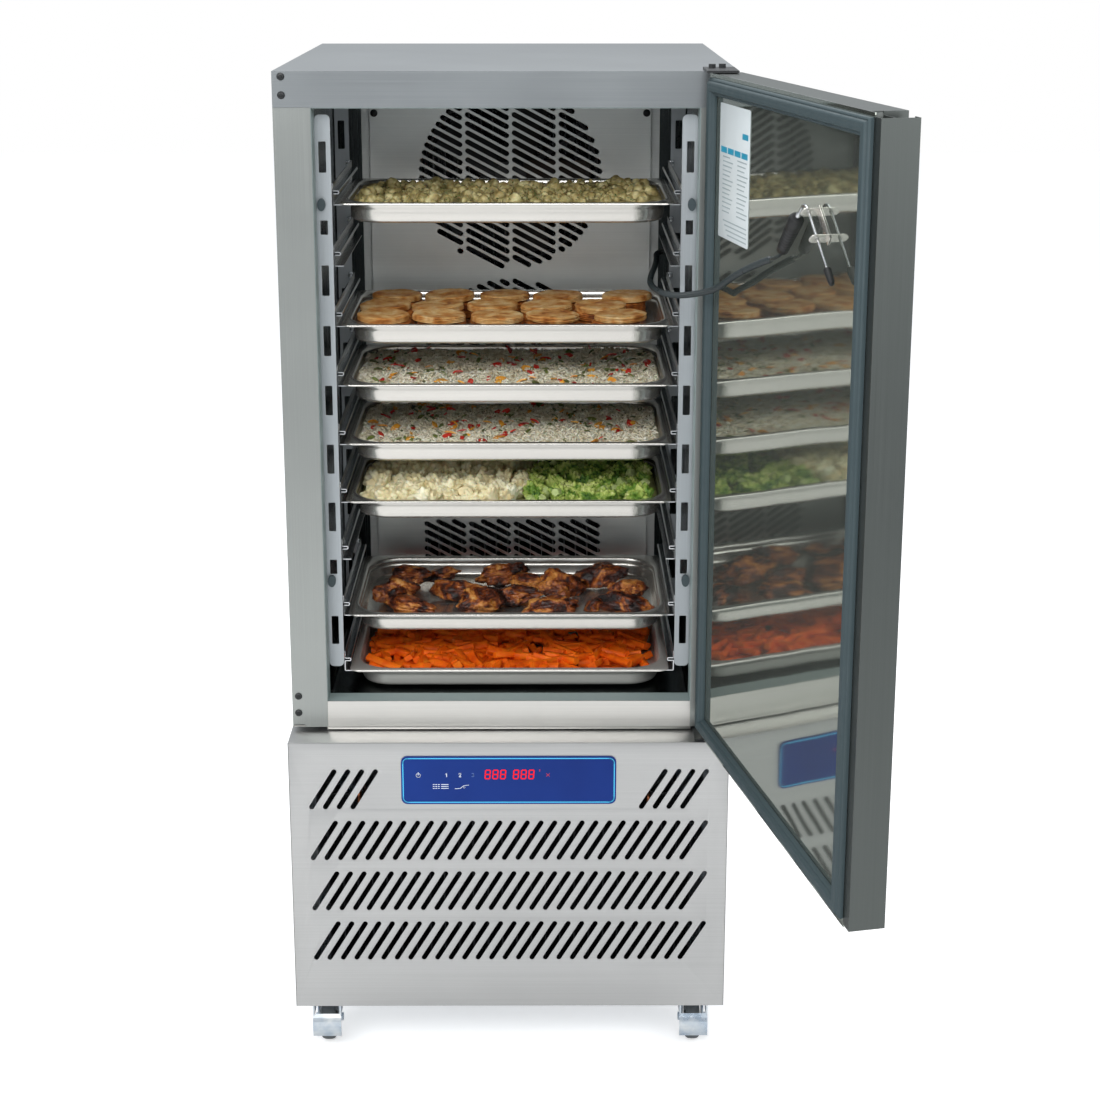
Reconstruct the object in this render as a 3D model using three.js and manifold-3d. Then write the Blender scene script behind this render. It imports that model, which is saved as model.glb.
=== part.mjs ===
// Reach-in blast chiller on casters, door standing open as in the photo.
// Millimetres, +Z up, +X to the right, +Y into the cabinet, floor at Z 0.
// Y 0 is the front face of the insulated cabinet. The door is drawn closed,
// then every door piece is turned about the hinge pins to its open pose.
import * as THREE from 'three';
import { mergeVertices } from 'three/addons/utils/BufferGeometryUtils.js';
import Module from 'manifold-3d';

const wasm = await Module();
wasm.setup();

// ---------------------------------------------------------------- driving dimensions
const GAP = 0.3; // between pieces that touch
const SHEET = 1.5; // folded steel sheet

const HALF_WIDTH = 355; // insulated cabinet
const DEPTH = 740;
const TOP = 1640;
const CABINET_BOTTOM = 577.3;
const HEADER_BOTTOM = 1585;
const OPENING_HALF = 297.5; // between the front stiles
const SILL_TOP = 622;

const LOWER_HALF = 358; // machine housing under the cabinet
const LOWER_FRONT = -54;
const LOWER_TOP = 571;
const LOWER_BOTTOM = 98;

const LINER_HALF = 303; // inside of the stainless liner
const LINER_FLOOR = 618;
const LINER_CEILING = 1587;
const LINER_BACK = 692;
const LINER_WALL = 3;
const BREAKER_DEPTH = 40; // plastic reveal between the outer case and the liner

const LEVELS = 9; // pairs of tray slides
const LEVEL_PITCH = 96.95;
const TOP_RIM = 1433; // rim height of a pan on the first level
const PAN_LEVELS = [1, 3, 4, 5, 6, 8, 9];
const PAN_LENGTH = 530; // gastronorm 1/1, across the cabinet
const PAN_WIDTH = 325;
const PAN_DEPTH = 34.5; // the lowest pan just clears the sill
const PAN_FRONT = 50;
const RIM_THICKNESS = 2.5;

const UPRIGHT = { outer: 297, width: 24, front: 44, rear: 392, bottom: 667, top: 1571 };
const RUNNER = { // folded channel on each level: shelf, web, and a nose over the pan's rim
  web: 272, shelf: 258, nose: 262.3, sheet: 1.5, noseBottom: 13, noseTop: 19, top: 30,
  front: 58, rear: 385, tabBottom: 21, tabTop: 29, tabReach: 282,
};
const KNOB_X = 289;
const KNOB_HEIGHTS = { upper: 1432, lower: 816 };

const FAN_COVER = { half: 246, front: 440, bottom: 640, top: 1580 };
const FAN_HEIGHTS = { upper: 1426, lower: 1087 };
const FAN_GRILLE_RADIUS = 159;

const DOOR = { left: -352, right: 354.5, front: -62, back: -12, bottom: 576, top: 1639 };
const PIN = { x: 335, y: -35, radius: 5 };
const DOOR_OPEN = 102; // degrees, as photographed
const GASKET = { left: -330, right: 340, bottom: 588, top: 1633, width: 25 };
const GRIP = { recess: -311.5, floor: -30, lip: 16, bottom: 580, top: 1634 };

const FASCIA = { half: 175, bottom: 465, top: 548, corner: 10, thickness: 2 };
const LOUVRE = { rows: 4, columns: 28, pitch: 22.45, rowPitch: 90.5, topRow: 490, end: 4 };
const LOUVRE_SLOT = { run: 38, rise: 62, width: 9 };

const CASTER = { x: 311, frontY: 45, rearY: 690, trail: 28, wheel: 37.5, width: 25 };

// ---------------------------------------------------------------- materials
function finish(color, roughness, metalness) {
  return new THREE.MeshStandardMaterial({ color, roughness, metalness });
}

const steel = finish(0xb4b9bb, 0.35, 0.9);
const brightSteel = finish(0xc9cccf, 0.22, 0.95);
const rackSteel = finish(0xbfc2c8, 0.4, 0.7);
const zinc = finish(0xc4ccd2, 0.35, 0.85);
const aluminium = finish(0xaab0b3, 0.5, 0.8);
const foamYellow = finish(0xd9c98f, 0.95, 0);
const greyPlastic = finish(0x7c8689, 0.6, 0);
const slatePlastic = finish(0x4b585c, 0.55, 0);
const blackPlastic = finish(0x161819, 0.5, 0);
const gasketRubber = finish(0x4b5c62, 0.75, 0);
const fasciaBlue = finish(0x12356b, 0.35, 0);
const blackPaint = finish(0x1c1e20, 0.45, 0.3);
const wheelRubber = finish(0x5d6163, 0.8, 0);

// ---------------------------------------------------------------- solids
function solid(geometry) {
  const bare = geometry.index ? geometry : geometry.clone();
  bare.deleteAttribute('normal');
  bare.deleteAttribute('uv');
  const merged = mergeVertices(bare, 1e-4);
  return new wasm.Manifold(new wasm.Mesh({
    numProp: 3,
    vertProperties: new Float32Array(merged.attributes.position.array),
    triVerts: new Uint32Array(merged.index.array),
  }));
}

function fromManifold(manifold) {
  const mesh = manifold.getMesh();
  const geometry = new THREE.BufferGeometry();
  geometry.setAttribute('position', new THREE.BufferAttribute(mesh.vertProperties, 3));
  geometry.setIndex(new THREE.BufferAttribute(mesh.triVerts, 1));
  return geometry;
}

function box(x0, x1, y0, y1, z0, z1) {
  const geometry = new THREE.BoxGeometry(x1 - x0, y1 - y0, z1 - z0);
  geometry.translate((x0 + x1) / 2, (y0 + y1) / 2, (z0 + z1) / 2);
  return solid(geometry);
}

function cylinder(axis, x, y, z, radius, length, sides = 16, farRadius = radius) {
  // starts at (x, y, z) and runs along +axis
  const geometry = new THREE.CylinderGeometry(farRadius, radius, length, sides);
  geometry.translate(0, length / 2, 0);
  if (axis === 'x') geometry.rotateZ(-Math.PI / 2);
  if (axis === 'z') geometry.rotateX(Math.PI / 2);
  geometry.translate(x, y, z);
  return solid(geometry);
}

function rod(start, end, radius, farRadius, sides) {
  const from = new THREE.Vector3(...start);
  const along = new THREE.Vector3(...end).sub(from);
  const geometry = new THREE.CylinderGeometry(farRadius, radius, along.length(), sides);
  geometry.translate(0, along.length() / 2, 0);
  const turn = new THREE.Quaternion().setFromUnitVectors(
    new THREE.Vector3(0, 1, 0), along.clone().normalize());
  geometry.applyQuaternion(turn);
  geometry.translate(from.x, from.y, from.z);
  return solid(geometry);
}

function across(side, a, b) {
  // X from low to high, on the left (side -1) or on the right (side 1)
  return [Math.min(side * a, side * b), Math.max(side * a, side * b)];
}

function union(...pieces) {
  return pieces.reduce((all, piece) => all.add(piece));
}

function roundedRectangle(x0, x1, y0, y1, radius) {
  const shape = new THREE.Shape();
  shape.moveTo(x0 + radius, y0);
  shape.lineTo(x1 - radius, y0);
  shape.absarc(x1 - radius, y0 + radius, radius, -Math.PI / 2, 0);
  shape.lineTo(x1, y1 - radius);
  shape.absarc(x1 - radius, y1 - radius, radius, 0, Math.PI / 2);
  shape.lineTo(x0 + radius, y1);
  shape.absarc(x0 + radius, y1 - radius, radius, Math.PI / 2, Math.PI);
  shape.lineTo(x0, y0 + radius);
  shape.absarc(x0 + radius, y0 + radius, radius, Math.PI, 1.5 * Math.PI);
  return shape;
}

function polygon(points) {
  // always anticlockwise, so that a hole is told from its outline
  const corners = points.map(([x, y]) => new THREE.Vector2(x, y));
  return new THREE.Shape(THREE.ShapeUtils.isClockWise(corners) ? corners.reverse() : corners);
}

function extruded(shape, depth, curveSegments) {
  return new THREE.ExtrudeGeometry(shape, { depth, curveSegments, bevelEnabled: false });
}

function alongZ(shape, z0, z1, curveSegments = 3) {
  const geometry = extruded(shape, z1 - z0, curveSegments);
  geometry.translate(0, 0, z0);
  return solid(geometry);
}

function alongY(shape, y0, y1, curveSegments = 3) {
  // the shape's x and y become X and Z
  const geometry = extruded(shape, y1 - y0, curveSegments);
  geometry.rotateX(Math.PI / 2);
  geometry.translate(0, y1, 0);
  return solid(geometry);
}

function alongX(shape, x0, x1, curveSegments = 3) {
  // the shape's x and y become Y and Z
  const geometry = extruded(shape, x1 - x0, curveSegments);
  geometry.applyMatrix4(new THREE.Matrix4().makeBasis(
    new THREE.Vector3(0, 1, 0), new THREE.Vector3(0, 0, 1), new THREE.Vector3(1, 0, 0)));
  geometry.translate(x0, 0, 0);
  return solid(geometry);
}

const model = new THREE.Group();

function add(name, manifold, material, place) {
  const geometry = fromManifold(manifold);
  if (place) geometry.applyMatrix4(place);
  const mesh = new THREE.Mesh(geometry, material);
  mesh.name = name;
  model.add(mesh);
}

// ---------------------------------------------------------------- insulated cabinet
function topCover() {
  const rearFlange = 20;
  const profile = polygon([
    [0, HEADER_BOTTOM + GAP], [SHEET, HEADER_BOTTOM + GAP], [SHEET, TOP - SHEET],
    [DEPTH - SHEET, TOP - SHEET], [DEPTH - SHEET, TOP - rearFlange],
    [DEPTH, TOP - rearFlange], [DEPTH, TOP], [0, TOP],
  ]);
  add('top_cover', alongX(profile, -HALF_WIDTH, HALF_WIDTH), steel);
}

function sidePanel(name, side) {
  const top = TOP - SHEET - GAP;
  const back = DEPTH - SHEET - GAP;
  const stepBack = SHEET + GAP;
  const sheet = polygon([
    [0, CABINET_BOTTOM], [back, CABINET_BOTTOM], [back, top],
    [stepBack, top], [stepBack, HEADER_BOTTOM], [0, HEADER_BOTTOM],
  ]);
  const notch = { outer: 353, inner: 335, top: CABINET_BOTTOM + 4 };
  const flat = alongX(sheet, ...across(side, HALF_WIDTH, HALF_WIDTH - SHEET));
  const stile = box(...across(side, HALF_WIDTH, OPENING_HALF), 0, SHEET,
    CABINET_BOTTOM, HEADER_BOTTOM);
  const cut = box(...across(side, notch.outer, notch.inner), -1, SHEET + 1,
    CABINET_BOTTOM - 1, notch.top);
  add(name, flat.add(stile).subtract(cut), steel);
}

function rearPanel() {
  const top = TOP - 20 - GAP;
  add('rear_panel', box(-HALF_WIDTH, HALF_WIDTH, DEPTH - SHEET, DEPTH,
    CABINET_BOTTOM, top), steel);
}

function sillRail() {
  const half = OPENING_HALF - GAP;
  const floorHalf = HALF_WIDTH - SHEET - GAP;
  const face = box(-half, half, 0, SHEET, CABINET_BOTTOM, SILL_TOP);
  const tongue = box(-half, half, 0, 10, CABINET_BOTTOM, CABINET_BOTTOM + SHEET);
  const floor = box(-floorHalf, floorHalf, SHEET + GAP, DEPTH - SHEET - GAP,
    CABINET_BOTTOM, CABINET_BOTTOM + SHEET);
  add('sill_rail', union(face, tongue, floor), steel);
}

function insulationFoam() {
  const half = HALF_WIDTH - SHEET - GAP;
  const front = 24;
  const hollowHalf = LINER_HALF + LINER_WALL + GAP;
  const block = box(-half, half, front, DEPTH - SHEET - GAP,
    CABINET_BOTTOM + SHEET + GAP, TOP - SHEET - GAP);
  const hollow = box(-hollowHalf, hollowHalf, front - 1, LINER_BACK + LINER_WALL + GAP,
    LINER_FLOOR - LINER_WALL - GAP, LINER_CEILING + LINER_WALL + GAP);
  add('insulation_foam', block.subtract(hollow), foamYellow);
}

function innerLiner() {
  const corner = 12;
  const outer = box(-LINER_HALF - LINER_WALL, LINER_HALF + LINER_WALL,
    BREAKER_DEPTH + GAP, LINER_BACK + LINER_WALL,
    LINER_FLOOR - LINER_WALL, LINER_CEILING + LINER_WALL);
  const hollow = alongY(
    roundedRectangle(-LINER_HALF, LINER_HALF, LINER_FLOOR, LINER_CEILING, corner),
    BREAKER_DEPTH - 1, LINER_BACK);
  add('inner_liner', outer.subtract(hollow), brightSteel);
}

function breakerFrame() {
  const outer = box(-LINER_HALF - LINER_WALL, LINER_HALF + LINER_WALL,
    SHEET + GAP, BREAKER_DEPTH, LINER_FLOOR - LINER_WALL, LINER_CEILING + LINER_WALL);
  const inner = box(-OPENING_HALF + 1, OPENING_HALF - 1, 0, BREAKER_DEPTH + 1,
    SILL_TOP - 1, HEADER_BOTTOM - 1);
  add('breaker_frame', outer.subtract(inner), greyPlastic);
}

// ---------------------------------------------------------------- air side of the cavity
function slantedSlots(half, bottom, top, columns, pitch, slope) {
  // four-cornered slots in columns, falling to the right
  const slotHeight = 8.5;
  const bridge = 5;
  const width = (2 * half) / columns;
  const drop = (width - bridge) * slope;
  const slots = [];
  for (let column = 0; column < columns; column += 1) {
    const left = -half + column * width + bridge / 2;
    const right = left + width - bridge;
    for (let z = bottom; z < top + drop; z += pitch) {
      slots.push(polygon([
        [left, z], [right, z - drop], [right, z - drop + slotHeight], [left, z + slotHeight],
      ]));
    }
  }
  return slots.map((slot) => alongY(slot, FAN_COVER.front - 1, FAN_COVER.front + 3));
}

function evaporatorCover() {
  const { half, front, bottom, top } = FAN_COVER;
  const returnDepth = 20;
  const flange = 15;
  const back = front + returnDepth;
  const profile = polygon([
    [-half, front], [half, front], [half, back - SHEET], [half + flange, back - SHEET],
    [half + flange, back], [half - SHEET, back], [half - SHEET, front + SHEET],
    [-half + SHEET, front + SHEET], [-half + SHEET, back], [-half - flange, back],
    [-half - flange, back - SHEET], [-half, back - SHEET],
  ]);
  const pitch = 15.1;
  const slope = Math.tan(THREE.MathUtils.degToRad(27));
  let cover = alongZ(profile, bottom, top);
  for (const height of Object.values(FAN_HEIGHTS)) {
    const round = cylinder('y', 0, front - 1, height, FAN_GRILLE_RADIUS, 4, 24);
    const slots = slantedSlots(FAN_GRILLE_RADIUS + 1, height - FAN_GRILLE_RADIUS,
      height + FAN_GRILLE_RADIUS, 4, pitch, slope);
    cover = cover.subtract(union(...slots).intersect(round));
  }
  const low = { half: 160, bottom: 700, top: 804 };
  const window = box(-low.half, low.half, front - 1, front + 3, low.bottom, low.top);
  const slots = slantedSlots(low.half + 1, low.bottom, low.top, 4, pitch, slope);
  add('evaporator_cover', cover.subtract(union(...slots).intersect(window)), steel);
}

function finBlock({ half, y0, y1, z0, z1, fins, spine }) {
  // a comb of fins across X on a spine at the back
  const thickness = 2;
  const spacing = (2 * half - thickness) / (fins - 1);
  const outline = [[half, y1], [-half, y1]];
  for (let n = 0; n < fins; n += 1) {
    const left = -half + n * spacing;
    if (n > 0) outline.push([left, y1 - spine]);
    outline.push([left, y0], [left + thickness, y0]);
    if (n < fins - 1) outline.push([left + thickness, y1 - spine]);
  }
  return alongZ(polygon(outline), z0, z1);
}

function fanBlade(y, x, z, radius, hub) {
  // five pitched blades on a hub, turning about Y
  const depth = 24;
  const blades = [cylinder('y', 0, 0, 0, hub, depth, 14)];
  for (let n = 0; n < 5; n += 1) {
    const blade = new THREE.BoxGeometry(radius - hub + 6, 3, 62);
    blade.rotateX(THREE.MathUtils.degToRad(18));
    blade.translate((radius + hub - 6) / 2, depth / 2, 0);
    blade.rotateY((n * 2 * Math.PI) / 5);
    blades.push(solid(blade));
  }
  return union(...blades).translate([x, y, z]);
}

function fanMotor(y, z, ringRadius) {
  // motor held in a ring by three arms
  const ring = cylinder('y', 0, y, z, ringRadius, 8, 18)
    .subtract(cylinder('y', 0, y - 1, z, ringRadius - 5, 10, 18));
  const motor = cylinder('y', 0, y - 2, z, 36, 20, 12);
  const arms = [0, 1, 2].map((n) => {
    const arm = new THREE.BoxGeometry(ringRadius - 22, 5, 9);
    arm.translate((ringRadius + 18) / 2, 0, 0);
    arm.rotateY((n * 2 * Math.PI) / 3 + Math.PI / 2);
    arm.translate(0, y + 4, z);
    return solid(arm);
  });
  return union(ring, motor, ...arms);
}

function airSystem() {
  evaporatorCover();
  const coil = { half: 225, y0: 512, y1: 650, z0: 700, z1: 1540, fins: 22, spine: 10 };
  add('evaporator_coil', finBlock(coil), aluminium);
  for (const [place, height] of Object.entries(FAN_HEIGHTS)) {
    add(`evaporator_fan_motor_${place}`, fanMotor(486, height, 156), blackPaint);
    add(`evaporator_fan_blade_${place}`, fanBlade(452, 0, height, 140, 28), blackPlastic);
  }
}

// ---------------------------------------------------------------- racks, knobs and pans
function rimHeight(level) {
  return TOP_RIM - LEVEL_PITCH * (level - 1);
}

function uprightShape(outer, side) {
  const { width, bottom, top } = UPRIGHT;
  const inner = outer - width;
  const x0 = Math.min(side * inner, side * outer);
  return roundedRectangle(x0, x0 + width, bottom, top, 8);
}

function rackUpright(y, outer, side) {
  // a strip with a row of slots; the second slot and the eighth are short, beside the knobs
  const plate = 2;
  const shape = uprightShape(outer, side);
  for (let level = 1; level <= LEVELS; level += 1) {
    const high = rimHeight(level) + 97 - (level === 2 ? 26 : 0);
    const low = rimHeight(level) + 48 + (level === 8 ? 24 : 0);
    const [x0, x1] = across(side, outer - 5, outer - 17);
    shape.holes.push(polygon([[x0, low], [x0, high], [x1, high], [x1, low]]));
  }
  return alongY(shape, y, y + plate);
}

function runner(side, level) {
  // carries the pan's rim on its shelf; tabs at both ends join it to the uprights
  const { web, shelf, nose, sheet, noseBottom, noseTop, top, front, rear } = RUNNER;
  const { tabBottom, tabTop, tabReach } = RUNNER;
  const rim = rimHeight(level);
  const seat = rim - RIM_THICKNESS - GAP;
  const at = (x, z) => [side * x, z];
  const profile = polygon([
    at(shelf, seat - sheet), at(web + sheet, seat - sheet), at(web + sheet, rim + top),
    at(web, rim + top), at(web, rim + noseTop), at(nose, rim + noseTop),
    at(nose, rim + noseBottom), at(web, rim + noseBottom), at(web, seat), at(shelf, seat),
  ]);
  const tab = (y0, y1) => box(...across(side, web + 0.5, tabReach), y0, y1,
    rim + tabBottom, rim + tabTop);
  return union(alongY(profile, front, rear), tab(UPRIGHT.front + 1, front + 4),
    tab(rear - 4, UPRIGHT.rear + 1));
}

function rack(name, side) {
  const { outer, front, rear, bottom, top } = UPRIGHT;
  let body = rackUpright(front, outer, side)
    .add(box(...across(side, outer, outer - 2), front, front + 22, bottom + 10, top - 10))
    .add(rackUpright(rear, outer + 4, side));
  for (let level = 1; level <= LEVELS; level += 1) {
    body = body.add(runner(side, level));
  }
  for (const z of Object.values(KNOB_HEIGHTS)) {
    body = body.subtract(box(...across(side, outer + 1, KNOB_X - 4), front - 1, front + 23,
      z - 16, z + 6));
  }
  add(name, body, rackSteel);
}

function rackKnob(name, side, z) {
  // an oval head on a stud that stands off the liner wall
  const head = { halfWidth: 6.5, halfHeight: 10, thickness: 6.5 };
  const faceY = UPRIGHT.front - GAP;
  const oval = new THREE.Shape();
  oval.absellipse(side * KNOB_X, z, head.halfWidth, head.halfHeight, 0, 2 * Math.PI);
  const cap = alongY(oval, faceY - head.thickness, faceY, 6);
  const stem = cylinder('y', side * KNOB_X, faceY - 1, z, 3, 18, 8);
  const wall = side * (LINER_HALF - GAP);
  const near = side * (KNOB_X - 3);
  const foot = box(Math.min(wall, near), Math.max(wall, near), 57, 63, z - 5, z + 5);
  add(name, union(cap, stem, foot), slatePlastic);
}

function tapered(geometry, z0, z1, centreY, shrink) {
  // draws the lower end in towards the middle, for a pan's draft
  const position = geometry.attributes.position;
  for (let i = 0; i < position.count; i += 1) {
    const t = (z1 - position.getZ(i)) / (z1 - z0);
    const x = position.getX(i);
    const y = position.getY(i);
    position.setX(i, x - Math.sign(x) * shrink * t);
    position.setY(i, y - Math.sign(y - centreY) * shrink * t);
  }
  return solid(geometry);
}

function pan(name, level) {
  const top = rimHeight(level);
  const wall = 1.2;
  const rim = 10;
  const corner = 66;
  const draft = 5;
  const half = PAN_LENGTH / 2;
  const middle = PAN_FRONT + PAN_WIDTH / 2;
  const tub = (inset, z0, z1) => {
    const shape = roundedRectangle(-half + inset, half - inset, PAN_FRONT + inset,
      PAN_FRONT + PAN_WIDTH - inset, corner - inset);
    const geometry = extruded(shape, z1 - z0, 3);
    geometry.translate(0, 0, z0);
    return tapered(geometry, z0, z1, middle, draft);
  };
  const lip = alongZ(roundedRectangle(-half, half, PAN_FRONT, PAN_FRONT + PAN_WIDTH, 14),
    top - RIM_THICKNESS, top, 1);
  const outside = tub(rim, top - PAN_DEPTH, top - 0.5);
  const inside = tub(rim + wall, top - PAN_DEPTH + wall, top + 1);
  add(name, lip.add(outside).subtract(inside), brightSteel);
}

function cavityFittings() {
  for (const [place, side] of [['left', -1], ['right', 1]]) {
    rack(`rack_${place}`, side);
    for (const [row, z] of Object.entries(KNOB_HEIGHTS)) {
      rackKnob(`rack_knob_${place}_${row}`, side, z);
    }
  }
  PAN_LEVELS.forEach((level) => pan(`pan_level_${level}`, level));
}

// ---------------------------------------------------------------- door, drawn closed
const openDoor = new THREE.Matrix4()
  .makeTranslation(PIN.x, PIN.y, 0)
  .multiply(new THREE.Matrix4().makeRotationZ(THREE.MathUtils.degToRad(DOOR_OPEN)))
  .multiply(new THREE.Matrix4().makeTranslation(-PIN.x, -PIN.y, 0));

function pinHoles(radius) {
  return union(
    cylinder('z', PIN.x, PIN.y, DOOR.top - 22, radius, 30, 16),
    cylinder('z', PIN.x, PIN.y, DOOR.bottom - 8, radius, 28, 16),
  );
}

function doorOuterSkin() {
  const { left, right, front, bottom, top } = DOOR;
  const foldBack = DOOR.back - 2;
  const skin = union(
    box(GRIP.recess, right, front, front + SHEET, bottom, top),
    box(right - SHEET, right, front, foldBack, bottom, top),
    box(GRIP.recess, right, front, foldBack, top - SHEET, top),
    box(GRIP.recess, right, front, foldBack, bottom, bottom + SHEET),
    box(GRIP.recess - SHEET, GRIP.recess, front, GRIP.floor, bottom, top),
  );
  const grip = union(
    box(left, GRIP.recess, GRIP.floor - SHEET, GRIP.floor, GRIP.bottom, GRIP.top),
    box(left, left + SHEET, front, DOOR.back, GRIP.bottom, GRIP.top),
    box(left, left + GRIP.lip, front, front + SHEET, GRIP.bottom, GRIP.top),
    box(left, GASKET.left - 1, DOOR.back - SHEET, DOOR.back, GRIP.bottom, GRIP.top),
  );
  add('door_outer_skin', skin.add(grip).subtract(pinHoles(PIN.radius + 0.5)), steel, openDoor);
}

function doorInnerPanel() {
  const back = DOOR.back - 0.2;
  add('door_inner_panel', box(GASKET.left - 1 + GAP, DOOR.right, back - SHEET, back,
    DOOR.bottom, DOOR.top), brightSteel, openDoor);
}

function doorFoam() {
  const block = box(GRIP.recess + GAP, DOOR.right - SHEET - GAP,
    DOOR.front + SHEET + GAP, DOOR.back - 2, DOOR.bottom + SHEET + GAP,
    DOOR.top - SHEET - GAP);
  add('door_foam', block.subtract(pinHoles(PIN.radius + 1)), foamYellow, openDoor);
}

function doorGasket() {
  const { left, right, bottom, top, width } = GASKET;
  const ring = (inset, y0, y1) => box(left + inset, right - inset, y0, y1,
    bottom + inset, top - inset);
  const base = DOOR.back + 0.1;
  const lip = ring(0, base, -4).add(ring(4, -5, -0.5));
  add('door_gasket', lip.subtract(ring(width, base - 1, 1)), gasketRubber, openDoor);
}

function hingeBracket(name, plateZ, pinZ0, pinZ1) {
  // a plate bolted to the cabinet, with the pin that the door turns on
  const plate = box(302, 350, -48, 40, plateZ, plateZ + 3.5);
  const pin = cylinder('z', PIN.x, PIN.y, pinZ0, PIN.radius, pinZ1 - pinZ0, 16);
  let bracket = plate.add(pin);
  if (plateZ > TOP) {
    for (const [x, y] of [[314, 12], [330, 18]]) {
      bracket = bracket.add(cylinder('z', x, y, plateZ + 3, 6, 6.5, 6));
    }
  }
  add(name, bracket, blackPaint);
}

function door() {
  doorOuterSkin();
  doorInnerPanel();
  doorFoam();
  doorGasket();
  hingeBracket('hinge_bracket_top', TOP + GAP, DOOR.top - 18, TOP + 2);
  hingeBracket('hinge_bracket_bottom', LOWER_TOP + GAP, LOWER_TOP + 2, DOOR.bottom + 16);
}

// ---------------------------------------------------------------- core probe on the door
// The probe lies in a plane 15 mm off the inner panel. X and Z are of the closed door.
const PROBE_Y = 3;
const NEEDLE_TILT = THREE.MathUtils.degToRad(50.8);
const TAB = { x: -150, z: 1496.5, spacing: 46 }; // where the needle meets the upper tab
const HANDLE = { foot: [-48, 1431], neck: [-106, 1484] };

function alongNeedle(distance) {
  // a point on the needle's straight part, measured down from the upper tab
  return [
    TAB.x - distance * Math.sin(NEEDLE_TILT), PROBE_Y,
    TAB.z - distance * Math.cos(NEEDLE_TILT),
  ];
}

function probeHolder() {
  const tabShape = new THREE.Shape();
  tabShape.moveTo(-7, -14.9);
  tabShape.lineTo(7, -14.9);
  tabShape.lineTo(7, 4);
  tabShape.absarc(0, 4, 7, 0, Math.PI);
  const eye = new THREE.Path();
  eye.absarc(0, 0, 2.6, 0, 2 * Math.PI);
  tabShape.holes.push(eye);
  const back = box(-7, 7, -14.9, -13.4, -TAB.spacing - 6, 6);
  const holder = union(back, alongZ(tabShape, -0.7, 0.7, 5),
    alongZ(tabShape, -TAB.spacing - 0.7, -TAB.spacing + 0.7, 5));
  const place = new THREE.Matrix4().makeTranslation(TAB.x, PROBE_Y, TAB.z)
    .multiply(new THREE.Matrix4().makeRotationY(NEEDLE_TILT));
  add('probe_holder', holder, brightSteel, openDoor.clone().multiply(place));
}

function probe() {
  const foot = [HANDLE.foot[0], PROBE_Y, HANDLE.foot[1]];
  const neck = [HANDLE.neck[0], PROBE_Y, HANDLE.neck[1]];
  add('probe_handle', rod(foot, neck, 8.5, 10.5, 14), blackPlastic, openDoor);
  const path = new THREE.CatmullRomCurve3([
    [-108, PROBE_Y, 1485.6], [-118, PROBE_Y, 1494.6], [-128, PROBE_Y, 1502],
    [-138, PROBE_Y, 1503], alongNeedle(-3), alongNeedle(14),
  ].map((p) => new THREE.Vector3(...p)));
  const section = new THREE.Shape();
  section.absarc(0, 0, 2, 0, 2 * Math.PI);
  const bend = new THREE.ExtrudeGeometry(section, {
    steps: 10, extrudePath: path, curveSegments: 3, bevelEnabled: false,
  });
  const needle = solid(bend).add(rod(alongNeedle(12), alongNeedle(112), 2, 1.4, 6));
  add('probe_needle', needle, brightSteel, openDoor);
  const cap = rod(alongNeedle(98), alongNeedle(124), 5, 4.2, 12)
    .subtract(rod(alongNeedle(97), alongNeedle(115), 2.4, 2.4, 10));
  add('probe_tip_cap', cap, blackPlastic, openDoor);
  probeHolder();
}

// The cable hangs from the handle, crosses the hinge side of the opening and runs back
// between two levels to a gland on the right-hand wall. World points, door open.
const GLAND = { x: 288, y: 430, z: 1300, radius: 8.5 };
const CABLE_RADIUS = { lead: 2.5, sleeve: 5 }; // bare lead at the handle, then armoured sleeve
const CABLE_LEAD = { end: 0.052, overlap: 0.046 }; // shares of the cable's length
const CABLE_STEPS = { lead: 4, sleeve: 42 };
const CABLE_DROP = [ // closed-door X, distance off the door's back face, height
  [-46.8, 15, 1429.9], [-40, 15, 1424.5], [-24, 15.5, 1418], [12, 17, 1408],
  [56, 19, 1394.5], [100, 21, 1380], [146, 22, 1363.5], [188, 22, 1347.5],
];
const CABLE_RUN = [
  [313, -142, 1331], [293, -86, 1314.5], [266, -32, 1301.5], [246, 18, 1296],
  [235, 72, 1293.5], [231, 130, 1291.5], [234, 195, 1289.5], [240, 255, 1289],
  [246, 300, 1290], [250.5, 340, 1291.5], [253.5, 375, 1293.5], [255, 404, 1295.5],
  [257, 414, 1296.5], [262.6, 422.4, 1297.8], [271, 428, 1299], [281, 430, 1300],
  [287.5, 430, 1300],
];

function tubeAlong(path, start, end, radius, steps) {
  // a round tube on the stretch of a path between two shares of its length
  const points = [];
  for (let n = 0; n <= 2 * steps; n += 1) {
    points.push(path.getPointAt(start + ((end - start) * n) / (2 * steps)));
  }
  const section = new THREE.Shape();
  section.absarc(0, 0, radius, 0, 2 * Math.PI);
  return solid(new THREE.ExtrudeGeometry(section, {
    steps, extrudePath: new THREE.CatmullRomCurve3(points), curveSegments: 4,
    bevelEnabled: false,
  }));
}

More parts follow.
